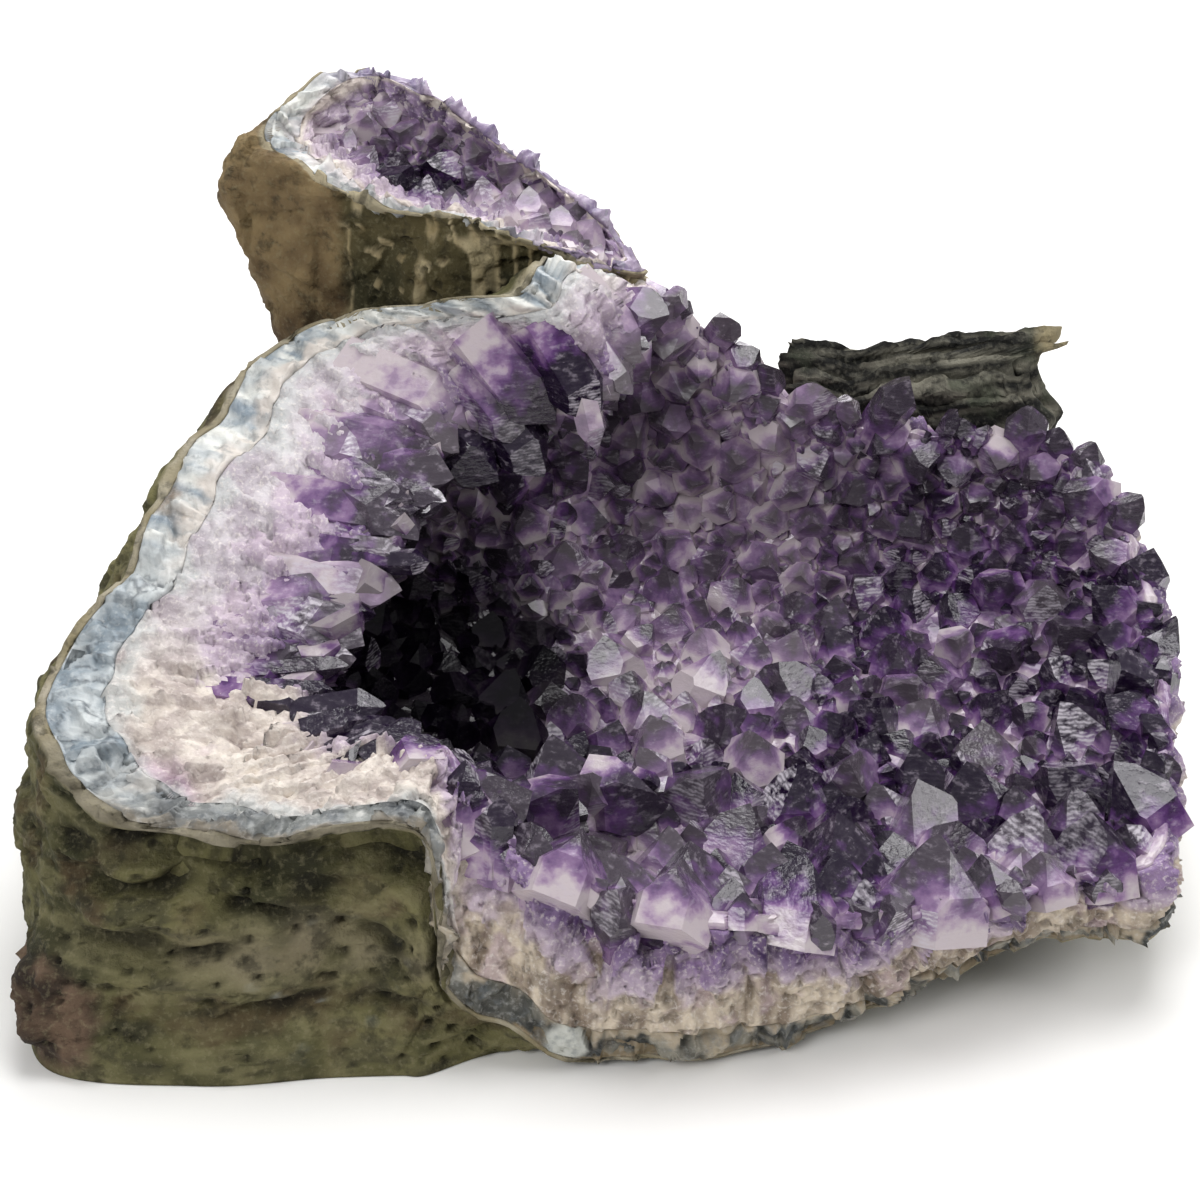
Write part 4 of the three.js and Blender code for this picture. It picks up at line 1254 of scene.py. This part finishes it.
@dataclass
class Crystals:
    """Arrays that say where quartz points stand, and how they are shaped."""

    foot: Array
    axis: Array
    turn: Array
    radius: Array
    shaft: Array  # height of the corners where the end faces meet the prism
    sink: Array
    narrow: Array  # (n, 3): how much higher each of the three small end faces starts
    flatness: Array
    tone: Array
    span: Array  # length under the tip over which the colour fades to the root's
    painted_shade: Array

    CORNERS = 22

    def corners(self) -> Array:
        """Corner points of quartz points along +Z, as the lower envelope of six planes.

        The three broad end faces meet at the tip: plane k has height tip - slope * (n_k . p).
        Each of the three small faces starts a bit higher, so that it only cuts the edge between
        two broad ones.

        Returns:
            (n, 22, 3) points: tip, 3 ends of small faces, 6 of their feet, 6 corners, 6 feet.
        """
        radius, shaft, narrow = self.radius, self.shaft, self.narrow
        tip = shaft + radius * RHOMB_SLOPE
        points = np.zeros((len(radius), self.CORNERS, 3))
        points[:, 0, 2] = tip
        small = np.radians(60 + 120 * np.arange(3))
        out = np.stack([np.cos(small), np.sin(small)], -1)
        side = np.stack([-np.sin(small), np.cos(small)], -1)
        reach = 2 * narrow / RHOMB_SLOPE
        points[:, 1:4, :2] = reach[..., None] * out
        points[:, 1:4, 2] = tip[:, None] - narrow
        half = (0.5 * radius[:, None] - narrow / RHOMB_SLOPE) / math.sin(math.radians(60))
        for s, sign in enumerate((-1, 1)):
            feet = radius[:, None, None] * out + sign * half[..., None] * side
            points[:, 4 + s : 10 : 2, :2] = feet
            points[:, 4 + s : 10 : 2, 2] = tip[:, None] + narrow - RHOMB_SLOPE * radius[:, None]
        round_it = np.radians(30 + 60 * np.arange(6))
        ring = np.stack([np.cos(round_it), np.sin(round_it)], -1) / math.cos(math.radians(30))
        points[:, 10:16, :2] = points[:, 16:22, :2] = radius[:, None, None] * ring
        points[:, 10:16, 2] = shaft[:, None]
        points[:, 16:22, 2] = -self.sink[:, None]
        return points

    @staticmethod
    def faces() -> Array:
        """Triangles of one quartz point, each with the number of the flat face it lies in."""
        rings = [(21, 20, 19, 18, 17, 16)]
        for k in range(3):
            low, high, far = 10 + (2 * k + 5) % 6, 10 + 2 * k, 10 + (2 * k + 1) % 6
            rings.append((0, 1 + (k + 2) % 3, 5 + 2 * ((k + 2) % 3), low, high, 4 + 2 * k, 1 + k))
            rings.append((1 + k, 4 + 2 * k, 5 + 2 * k))
            rings.append((high + 6, far + 6, far, 5 + 2 * k, 4 + 2 * k, high))
            rings.append((low + 6, high + 6, high, low))
        return np.array(
            [(r[0], a, b, k) for k, r in enumerate(rings) for a, b in zip(r[1:-1], r[2:])]
        )

    def patch(self) -> Patch:
        """Turns, leans and places every crystal at once.

        Returns:
            One patch with the marks rise, tone and painted shade, and a painted glint share a face.
        """
        local, n = self.corners(), len(self.foot)
        span = self.span[:, None]
        deeper = np.clip(-self.tone, 0, 1)[:, None]
        rise = np.clip((local[..., 2] - local[:, :1, 2] + span) / span + deeper, 0, 1)
        local[..., 1] *= self.flatness[:, None]
        c, s = np.cos(self.turn)[:, None], np.sin(self.turn)[:, None]
        x, y = local[..., 0] * c - local[..., 1] * s, local[..., 0] * s + local[..., 1] * c
        axis = self.axis / np.linalg.norm(self.axis, axis=1, keepdims=True)
        helper = np.where(np.abs(axis[:, 2:3]) < 0.9, [[0.0, 0, 1]], [[1.0, 0, 0]])
        across = np.cross(helper, axis)
        across /= np.linalg.norm(across, axis=1, keepdims=True)
        third = np.cross(axis, across)
        points = (
            self.foot[:, None]
            + x[..., None] * across[:, None]
            + y[..., None] * third[:, None]
            + local[..., 2:] * axis[:, None]
        )
        one = self.faces()
        faces = (one[None, :, :3] + self.CORNERS * np.arange(n)[:, None, None]).reshape(-1, 3)
        # a few faces of each crystal are picked for painted glints
        painted_glint_share = np.random.default_rng(n).random((n, one[:, 3].max() + 1))
        painted_glint_share = (smooth(0.82, 0.96, painted_glint_share) + 0.05)[:, one[:, 3]].ravel()
        marks = {
            "rise": rise.ravel(),
            "tone": np.repeat(np.clip(self.tone, 0, 1), self.CORNERS),
            "painted_shade": np.repeat(self.painted_shade, self.CORNERS),
        }
        return Patch(points.reshape(-1, 3), [faces], marks, [painted_glint_share])


@dataclass(frozen=True)
class LongPoint:
    """A long crystal placed in the main bowl's rim.

    It runs from place u and share w of the wall to another place and share; sunk is how far its
    middle lies under the rim face, in radii, and drop how far its tip hangs down, in mm.
    """

    start: tuple[float, float]
    end: tuple[float, float]
    radius: float
    tone: float
    drop: float = 0.0
    sunk: float = 0.3
    turn: float = 0.4
    flatness: float = 0.8
    fade: float = 0.9


LONG_POINTS = (
    LongPoint((16.85, 0.30), (16.4, 0.92), 12, 0.65, 2, 0.55, 0.2, 0.75, 0.6),
    LongPoint((17.3, 0.45), (16.9, 0.98), 11, 0.5, 2, 0.65, 0.9, 0.8, 0.7),
    LongPoint((16.1, 0.62), (16.05, 1.0), 8.5, 0.15, 12, 0.1, 0.1, 0.9, 0.8),
    LongPoint((15.5, 0.28), (15.6, 1.0), 12, 0.12, 6, 0.35, 0.5, 0.8, 0.7),
    LongPoint((14.85, 0.30), (15.05, 1.0), 9.5, -0.25, 5, 0.3, 0.3, 0.85, 1.0),
    LongPoint((14.5, 0.22), (14.7, 0.98), 6.5, 0.7, 3, 0.1, 0.8, 0.45),
    LongPoint((14.2, 0.25), (14.45, 1.02), 6, 0.5, 3, 0.1, 0.2, 0.5),
    LongPoint((13.9, 0.25), (14.05, 0.98), 8, 0.65, 0, 0.2, 0.6, 0.8),
    LongPoint((13.5, 0.2), (13.4, 0.9), 8.5, 0.75, 0, 0.5, 0.1, 0.8),
    LongPoint((13.0, 0.3), (12.9, 1.0), 8, 0.3, 2, 0.2, 0.7, 0.8),
    LongPoint((15.0, 0.75), (15.3, 1.12), 5.5, 0.8, 10, -0.2, 0.5, 0.7),
    LongPoint((16.6, 0.8), (16.4, 1.12), 9.5, -0.1, 14, 0.9, 0.6, 0.9, 1.2),
    LongPoint((15.9, 0.85), (15.8, 1.15), 8.5, -0.2, 16, 1.0, 0.2, 0.9, 1.2),
    LongPoint((17.9, 0.42), (17.3, 1.02), 13, 0.3, 2, 0.55, 0.4, 0.85, 0.8),
    LongPoint((18.7, 0.5), (18.2, 1.06), 12, 0.15, 2, 0.55, 0.2, 0.8, 0.8),
    LongPoint((18.3, 0.35), (18.0, 0.8), 11, 0.6, 0, 0.6, 0.9, 0.7),
    LongPoint((19.4, 0.62), (19.2, 1.08), 9, 0.75, 0, 0.35, 0.3, 0.6),
    LongPoint((19.9, 0.6), (19.5, 1.0), 11, 0.3, 0, 0.6, 0.6, 0.8),
)


class Home(Enum):
    """The bowl that a row of crystals lies in."""

    MAIN = "main"
    LOBE = "lobe"


@dataclass(frozen=True)
class RimRow:
    """A row of crystals that lie in a rim face.

    It runs between two places u; radii are the least and the greatest in mm; from_w says at which
    shares of the wall they start; sunk how far their middles lie under the face, in radii; fade is
    the share of the length that is coloured; wander turns them aside, in stations.
    """

    home: Home
    start_u: float
    end_u: float
    count: int
    radii: tuple[float, float]
    from_w: tuple[float, float]
    sunk: tuple[float, float] = (0.4, 0.9)
    fade: float = 0.8
    tone: float = 0.0
    wander: float = 0.15


# Of two rows that start at the same place, the later one stands.
RIM_ROWS = (
    RimRow(Home.MAIN, 16.6, 20.6, 24, (6, 15), (0.46, 0.8), (0.7, 1.05), 0.9, 0.1, 0.25),
    RimRow(Home.MAIN, 18, 21.2, 30, (3.5, 7), (0.66, 0.86), (0.5, 0.95), 1.2, 0.05, 0.3),
    # deeper violet here: partly the crystals' own colour, partly painted shade under the left rim
    RimRow(Home.MAIN, 21.5, 23.6, 9, (4, 8), (0.9, 0.97), (0.7, 1.1), 2.0, -0.3, 0.2),
    RimRow(Home.MAIN, 12.6, 17, 18, (5, 9), (0.45, 0.7), (0.7, 1.1), 0.7, 0.3, 0.15),
    RimRow(Home.MAIN, 26.8, 33.2, 20, (7, 12), (0.5, 0.7), (0.8, 1.05), 0.75, 0.3, 0.05),
    RimRow(Home.MAIN, 26.8, 33.4, 28, (5, 9), (0.64, 0.82), (0.4, 0.85), 1.0, 0.05, 0.06),
    RimRow(Home.MAIN, 32.6, 36.4, 30, (5, 10), (0.25, 0.55), (0.6, 1.0), 0.7, 0.15, 0.1),
    RimRow(Home.MAIN, 5.5, 14, 50, (5, 9), (0.45, 0.8), (-0.1, 0.5), 0.8, 0.0, 0.12),
    RimRow(Home.LOBE, 3.5, 11.5, 40, (3, 5.5), (0.5, 0.85), (0.6, 1.0), 0.7, 0.35, 0.12),
    RimRow(Home.LOBE, -1, 4, 34, (2.5, 4.5), (0.5, 0.8), (0.0, 0.4), 1.0, 0.0, 0.1),
)


@dataclass
class CrystalCrust:
    """The crust of amethyst points that lines the hollow, the lobe's pocket and the neck."""

    main: Bowl
    lobe: Bowl
    seed: int = 4177
    main_columns: int = 360
    lobe_columns: int = 160
    # (radius in mm, room as a share of two radii) of each scattering pass, big ones first
    passes: tuple[tuple[float, float], ...] = ((11.5, 0.8), (8.0, 0.72), (5.6, 0.64), (3.6, 0.62))
    main_tries: int = 2600
    lobe_tries: int = 1400

    def tones(self, place: Array, is_main: bool, rng: np.random.Generator) -> Array:
        """How pale each crystal is, up to 0.9, or by how much it is deeper, below 0.

        Few are pale at random; the rest is patches read off the photograph.

        Args:
            place: the crystals' feet in mm.
            is_main: whether they stand in the main bowl.
            rng: the random source.

        Returns:
            One number a crystal.
        """
        tone = 0.75 * rng.beta(0.6, 3.4, len(place)) - 0.05
        tone += 0.2 * smooth(0.1, 0.5, fractal(place, 60.0, 2, 701))
        if is_main:
            tone += 0.3 * self.milky(place) + 0.1 * smooth(20, 80, place[..., 1])
            # deeper violet at the front of the left wall: partly the crystals' own colour, partly
            # painted shade
            tone -= 0.9 * bump(place, (-60, -50, 78), (36, 26, 22))
            tone -= 0.2 * bump(place, (140, 10, 60), (45, 60, 40))
            tone += 0.25 * bump(place, (10, 70, 140), (30, 40, 30))
        else:
            pocket = bump(place, (-62, 136, 178), (22, 16, 22))
            tone += 0.75 - 1.3 * pocket - 0.5 * bump(place, (-14, 116, 170), (16, 16, 20))
        return np.clip(tone, -0.4, 0.9)

    def milky(self, place: Array) -> Array:
        """Where crystals are pale but for their tips: milky in the middle, painted light on the
        back wall.
        """
        # painted light: the back wall's crystals are made paler, as if lit
        back = bump(place, (42, 82, 98), (34, 34, 50))
        return np.clip(back + bump(place, (26, 24, 48), (30, 30, 30)), 0, 1)

    @staticmethod
    def painted_shades(place: Array, wobble: Array | float = 0.0) -> Array:
        """How much painted shade darkens each place in the cave under the left wall."""
        return np.clip(1.75 * bump(place, CAVE_AT, CAVE_RADII) - 0.2 + wobble, 0, 0.97)

    def scatter(self, bowl: Bowl, tries: int, rng: np.random.Generator) -> Crystals:
        """Scatters points over a root face in passes from big to small, each with its own room.

        Args:
            bowl: the bowl to line.
            tries: places tried a pass.
            rng: the random source.

        Returns:
            The crystals.
        """
        feet, radii, spots = np.zeros((0, 3)), np.zeros(0), []
        begin, full, fading, end = BARE_CORNER
        for radius, room in self.passes:
            u = bowl.even_u(rng.random(tries))
            v = np.sqrt(rng.random(tries))
            place = bowl.at(u, v, np.ones(tries))
            size = radius * self.size_at(place, bowl) * rng.uniform(0.82, 1.18, tries)
            bare = smooth(begin, full, u) * smooth(end, fading, u) if bowl.is_main else 0
            inside = v < 1 - 0.4 * size / 150 - 0.13 * bare
            for k in np.flatnonzero(inside):
                away = np.linalg.norm(feet - place[k], axis=1)
                if not (away < room * (radii + size[k])).any():
                    feet, radii = np.vstack([feet, place[k]]), np.append(radii, size[k])
                    spots.append((u[k], v[k]))
        n = len(radii)
        u, v = np.array(spots).T
        axis = bowl.into_hollow(u, np.minimum(v, 0.97)) + rng.normal(0, 0.2, (n, 3))
        return Crystals(
            foot=feet, axis=axis, turn=rng.uniform(0, math.tau, n), radius=radii,
            shaft=radii * rng.uniform(-0.35, 0.12, n), sink=radii * 0.7 + 2.0,
            narrow=radii[:, None] * rng.uniform(0.12, 0.58, (n, 3)),
            flatness=rng.uniform(0.75, 1.0, n), tone=self.tones(feet, bowl.is_main, rng),
            span=radii * rng.uniform(1.2, 2.3, n) * (1 - 0.35 * self.milky(feet) * bowl.is_main),
            # crystals in the cave under the left wall get painted shade
            painted_shade=self.painted_shades(feet, rng.normal(0, 0.08, n)),
        )

    @staticmethod
    def size_at(place: Array, bowl: Bowl) -> Array:
        """Size factor by place: biggest at the front of the hollow, small at the back."""
        if not bowl.is_main:
            return np.full(len(place), 0.62)
        left = smooth(-10, -50, place[:, 0])
        return (0.66 + 0.5 * np.clip((60 - place[:, 1]) / 130, 0, 1)) * (1 - 0.25 * left)

    def rim_points(self, bowl: Bowl, row: RimRow, rng: np.random.Generator) -> Crystals:
        """Crystals broken along their length, lying in the rim face with tips to the hollow.

        Args:
            bowl: the bowl whose rim they lie in.
            row: where they lie and how big they are.
            rng: the random source.

        Returns:
            The crystals.
        """
        count = row.count
        share = (np.arange(count) + rng.uniform(0.1, 0.9, count)) / count
        u = row.start_u + (row.end_u - row.start_u) * share
        radius = row.radii[0] + (row.radii[1] - row.radii[0]) * rng.random(count) ** 1.4
        start_w = rng.uniform(*row.from_w, count)
        v = 1 + RIM_SWELL * 0.6 - rng.uniform(*row.sunk, count) * radius / bowl.mm_per_v(u, start_w)
        foot = bowl.at(u % bowl.count, v - 1.15 * radius / bowl.mm_per_v(u, start_w), start_w)
        end_u = (u + rng.normal(0, row.wander, count)) % bowl.count
        end = bowl.at(end_u, v + rng.normal(0, 0.03, count), rng.uniform(0.97, 1.06, count))
        axis = end - foot
        length = np.linalg.norm(axis, axis=1)
        tone = row.tone + 0.8 * self.tones(foot, bowl.is_main, rng)
        return Crystals(
            foot=foot, axis=axis, turn=rng.uniform(0, math.tau, count), radius=radius,
            shaft=length - radius * RHOMB_SLOPE, sink=np.full(count, 1.0),
            narrow=radius[:, None] * rng.uniform(0.1, 0.55, (count, 3)),
            flatness=rng.uniform(0.55, 1.0, count), tone=tone, span=row.fade * length,
            painted_shade=np.zeros(count),
        )

    def long_points(self) -> Crystals:
        """The long crystals across the top of the wall and on the neck."""
        (u, w), (to_u, to_w) = (
            np.array([getattr(row, key) for row in LONG_POINTS]).T for key in ("start", "end")
        )
        radius, tone, drop, sunk, turn, flatness, fade = (
            np.array([getattr(row, key) for row in LONG_POINTS], float)
            for key in ("radius", "tone", "drop", "sunk", "turn", "flatness", "fade")
        )
        one_radius = radius / self.main.mm_per_v(u, w)
        v = 1 + RIM_SWELL * 0.7 - sunk * one_radius
        foot, tip = self.main.at(u, v - 0.8 * one_radius, w), self.main.at(to_u, v, to_w)
        tip = tip + drop[:, None] * np.array([0.1, -0.35, -1.0])
        axis = tip - foot
        length = np.linalg.norm(axis, axis=1)
        return Crystals(
            foot=foot, axis=axis, turn=turn, radius=radius, shaft=length - radius * RHOMB_SLOPE,
            sink=np.full(len(foot), 2.0), narrow=radius[:, None] * np.array([[0.15, 0.5, 0.3]]),
            flatness=flatness, tone=tone, span=fade * length, painted_shade=np.zeros(len(foot)),
        )

    def bed(self, bowl: Bowl, columns: int) -> Patch:
        """The crust that the points root in, as a closed shell."""
        low, high = Layer.CRUST.value
        rows = profile((0.1, low, 1, low, 6), (1, low, 1, high, 7), (1, high, 0.05, high, 46))
        shell = Shell(bowl, columns, rows)
        rim_height, _ = shell.rim_relief()
        p = shell.points
        facet = cells(p, 7.0, 71).facet
        top = smooth(low + 0.02, 1.0, shell.rows[:, 1:2])
        height = (1.5 * fractal(p, 10, 3, 73) + 3.0 * facet - 1.0) * top
        shell.raise_by(np.where(shell.on_rim[:, None], rim_height * (1 - top), 0) + height)
        # the bed under the left wall gets painted shade too
        cave = self.painted_shades(p)
        patch = shell.patch({"rise": 0.3 + 0 * cave, "tone": 0.3 + 0 * cave, "painted_shade": cave})
        # the bed gets no painted glints
        patch.painted_glint_share = [np.zeros(len(each)) for each in patch.faces]
        return patch

    def build(self) -> Object:
        """Builds the bed, the scattered points, the long crystals and the rim's rows."""
        rng = np.random.default_rng(self.seed)
        groups = [
            self.scatter(self.main, self.main_tries, rng),
            self.scatter(self.lobe, self.lobe_tries, rng),
            self.long_points(),
        ]
        homes = {Home.MAIN: self.main, Home.LOBE: self.lobe}
        rows = {
            (row.home, row.start_u): self.rim_points(homes[row.home], row, rng) for row in RIM_ROWS
        }
        groups += rows.values()
        patch = self.bed(self.main, self.main_columns)
        patch = patch.joined(self.bed(self.lobe, self.lobe_columns))
        for crystals in groups:
            patch = patch.joined(crystals.patch())
        LOG.info("%d crystals", sum(len(crystals.foot) for crystals in groups))
        piece = patch.to_object("amethyst_crust", False)
        dress(piece, AMETHYST, "crystal_crust")
        return piece


@dataclass(frozen=True)
class Sheet:
    """A thin sheet of the flake: middle in y, thickness, how low it ends, and its ends in x."""

    y: float
    thickness: float
    drop: float
    left: float
    right: float


FLAKE_SHEETS = (
    Sheet(104, 4.0, 24, 70, -8),
    Sheet(107, 4.5, 15, 63, -2),
    Sheet(111, 4.5, 9, 66, -7),
    Sheet(114, 4.5, 4, 61, 2),
    Sheet(118, 4.5, 1, 64, -8),
    Sheet(121, 4.0, -1, 66, 1),
    Sheet(125, 3.5, 2, 74, -5),
)


@dataclass
class HostFlake:
    """The laminated flake of host rock behind the back right edge."""

    along: int = 190
    half_loop: int = 32
    top_x: tuple[float, ...] = (60, 74, 86, 102, 119, 137, 158)
    top_z: tuple[float, ...] = (131, 131, 127, 131, 133, 135, 136)
    end_z: tuple[float, ...] = (63, 99, 105, 115, 125, 128, 136)
    end_x: tuple[float, ...] = (142, 156, 158, 149, 147, 156, 157)
    foot_z: float = 66.0

    def sheet(self, sheet: Sheet, seed: int) -> Patch:
        """One sheet: a flat loop in y and z, carried along x.

        The loop climbs the front face, turns over the top edge and comes down the back; the
        height of the top edge goes with x and the right end with z. Noise chips the edges, and
        steps in the height lift the faces as split leaves do.

        Args:
            sheet: the sheet.
            seed: picks its chips.

        Returns:
            A closed patch with its dye.
        """
        a = np.linspace(0, 1, self.along)[:, None]
        turn = np.linspace(0, 1, self.half_loop)
        climb = np.concatenate([turn**0.65, turn[-2:0:-1] ** 0.65])[None, :]
        side = np.concatenate([-np.ones(self.half_loop), np.ones(self.half_loop - 2)])[None, :]
        edge = np.minimum(1, np.minimum(climb, 1 - climb) * 14) ** 0.5
        x = sheet.left + a * (150 - sheet.left)
        top = np.interp(x, self.top_x, self.top_z) - sheet.drop - 0.39 * (sheet.y - 115)
        ragged = np.stack([x, 0 * x + sheet.y, 0 * x], -1)
        top = top + 2.2 * fractal(ragged, 9.0, 4, seed) - 1.0
        z = self.foot_z + climb * (top - self.foot_z)
        uneven = 1.5 * fractal(np.stack([z, z, 0 * z], -1), 7.0, 2, seed + 3)
        reach = np.interp(z + uneven, self.end_z, self.end_x)
        x = sheet.left + a * (reach + sheet.right - sheet.left) + 0 * z
        ends = np.minimum(1, np.minimum(a, 1 - a) * 20) ** 0.5
        leaning = np.stack([0.25 * x, 0.3 * sheet.y + 0 * x, 1.4 * (z - 0.12 * x)], -1)
        step = np.round(2.6 * lattice_noise(leaning, 6.0, seed + 9)) * 0.7
        y = sheet.y + side * edge * ends * (sheet.thickness / 2 + step)
        p = np.stack([x, y, z], -1)
        p[..., 1] += side[0] * ends * 0.7 * fractal(p, 7.0, 4, seed + 11)
        p[..., 0] += 1.5 * fractal(p * np.array([0.3, 1, 1.6]), 6.0, 3, seed + 13) * (2 * a - 1)
        count = p.shape[1]
        i = np.arange(count)
        j = (i + 1) % count
        ring = np.arange(self.along - 1)[:, None] * count
        quads = np.stack([ring + i, ring + count + i, ring + count + j, ring + j], -1)
        last = (self.along - 1) * count
        front, back = i[1 : self.half_loop - 2], count - i[1 : self.half_loop - 2]
        strip = np.stack([front, back, back - 1, front + 1], -1)
        half = self.half_loop
        turns = np.array([[0, count - 1, 1], [half - 2, half, half - 1]])
        caps = [strip[:, ::-1], strip + last, turns[:, ::-1], turns + last]
        whole = p.reshape(-1, 3)
        return Patch(whole, [quads.reshape(-1, 4), *caps], {"dye": self.dye(whole)})

    @staticmethod
    def dye(p: Array) -> Array:
        """Dark sheets with grey-green dusty streaks, tan at the broken tip."""
        leaning = np.stack([0.2 * p[..., 0], p[..., 1], 1.8 * (p[..., 2] - 0.12 * p[..., 0])], -1)
        streak = fractal(leaning, 5.0, 4, 801)
        tip = smooth(146, 152, p[..., 0]) * smooth(121, 127, p[..., 2])
        return coated(
            dyed(0.25 + 1.7 * streak, "#0b0b08", "#7a776a"),
            (0.8 * smooth(0.15, 0.5, fractal(p, 14.0, 3, 803)), "#3d4234"),
            (0.9 * tip, "#93886a"),
        )

    def build(self) -> Object:
        """Builds all sheets as one piece."""
        sheets = [self.sheet(sheet, 900 + 40 * k) for k, sheet in enumerate(FLAKE_SHEETS)]
        patch = sheets[0]
        for sheet in sheets[1:]:
            patch = patch.joined(sheet)
        piece = patch.to_object("host_flake", False)
        dress(piece, SPLIT_BASALT, "basalt_ledge")
        return piece


# ---------------------------------------------------------------- studio


@dataclass(frozen=True)
class Lamp:
    """A square soft light: where it hangs and what it looks at in metres, side, and power in W."""

    name: str
    place: tuple[float, float, float]
    aim: tuple[float, float, float]
    side: float
    watts: float

    def hang(self) -> None:
        """Adds the light; its -Z is turned along the way from place to aim."""
        data = bpy.data.lights.new(self.name, "AREA")
        data.size, data.energy = self.side, self.watts
        lamp = bpy.data.objects.new(self.name, data)
        bpy.context.scene.collection.objects.link(lamp)
        x, y, z = (a - b for a, b in zip(self.aim, self.place))
        lamp.location = self.place
        lamp.rotation_euler = (math.atan2(math.hypot(x, y), -z), 0.0, math.atan2(-x, y))


@dataclass
class Studio:
    """Pale floor, soft lights and the camera at the photograph's viewing angle."""

    elevation: float = 28.0
    distance: float = 0.62
    target: tuple[float, float, float] = (0.0, 0.0, 0.092)
    lens: float = 62.19
    low_sky: float = 0.08
    high_sky: float = 0.55
    floor_half_mm: float = 3000
    floor_z_mm: float = -0.3
    lamps: tuple[Lamp, ...] = (
        Lamp("overhead", (0.15, 0.25, 1.2), (0.0, 0.0, 0.08), 0.8, 10),
        Lamp("behind", (0.1, 1.3, 1.0), (0.0, 0.0, 0.08), 1.2, 14),
        Lamp("front_left", (-0.8, -0.9, 0.9), (0.0, 0.0, 0.08), 0.6, 7.5),
        Lamp("right", (1.2, -0.2, 0.8), (0.0, 0.0, 0.08), 0.6, 5),
    )

    def floor(self) -> None:
        """A wide pale floor under the stone."""
        corners = np.array([[-1, -1, 0], [1, -1, 0], [1, 1, 0], [-1, 1, 0]], float)
        corners *= self.floor_half_mm
        corners[:, 2] = self.floor_z_mm
        piece = Patch(corners, [np.array([[0, 1, 2, 3]])]).to_object("floor", False)
        piece.data.materials.append(FLOOR.material())

    def camera(self) -> None:
        """The camera: looks along +Y, down by the elevation."""
        data = bpy.data.cameras.new("photo_camera")
        data.lens, data.sensor_width = self.lens, 36.0
        data.clip_start, data.clip_end = 0.01, 50.0
        camera = bpy.data.objects.new("photo_camera", data)
        bpy.context.scene.collection.objects.link(camera)
        angle = math.radians(self.elevation)
        x, y, z = self.target
        away, up = self.distance * math.cos(angle), self.distance * math.sin(angle)
        camera.location = (x, y - away, z + up)
        camera.rotation_euler = (math.radians(90) - angle, 0, 0)
        bpy.context.scene.camera = camera

    def build(self) -> None:
        """Sets floor, lamps, world and camera."""
        self.floor()
        for lamp in self.lamps:
            lamp.hang()
        world = bpy.data.worlds.new("studio")
        world.use_nodes = True
        tree = world.node_tree
        way = add(tree, "SeparateXYZ", {0: add(tree, "TexCoord").outputs["Generated"]})
        sky = add(tree, "MapRange", {
            "Value": way.outputs["Z"], "From Min": -0.1, "From Max": 0.9, "To Min": self.low_sky,
            "To Max": self.high_sky,
        })
        tree.links.new(sky.outputs["Result"], tree.nodes["Background"].inputs["Strength"])
        tree.nodes["Background"].inputs["Color"].default_value = (1, 1, 1, 1)
        bpy.context.scene.world = world
        bpy.context.scene.view_settings.view_transform = "Standard"
        self.camera()


def main() -> None:
    """Builds the stone and the studio."""
    logging.basicConfig(level=logging.INFO, format="%(message)s")
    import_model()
    main_bowl = Bowl(MAIN_RIM, (0, 10, 0), (34, -4, 46), (30, 0, 95), 1.8)
    lobe_bowl = Bowl(LOBE_RIM, (-40, 102, 40), (-46, 136, 176), None, 1.0)
    RockSkin(main_bowl, "rock_skin", 680, 125).build()
    RockSkin(lobe_bowl, "lobe_skin", 380, 100).build()
    AgateBand(main_bowl, lobe_bowl).build()
    QuartzBody(main_bowl, lobe_bowl).build()
    CrystalCrust(main_bowl, lobe_bowl).build()
    HostFlake().build()
    Studio().build()
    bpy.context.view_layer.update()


if __name__ == "__main__":
    main()
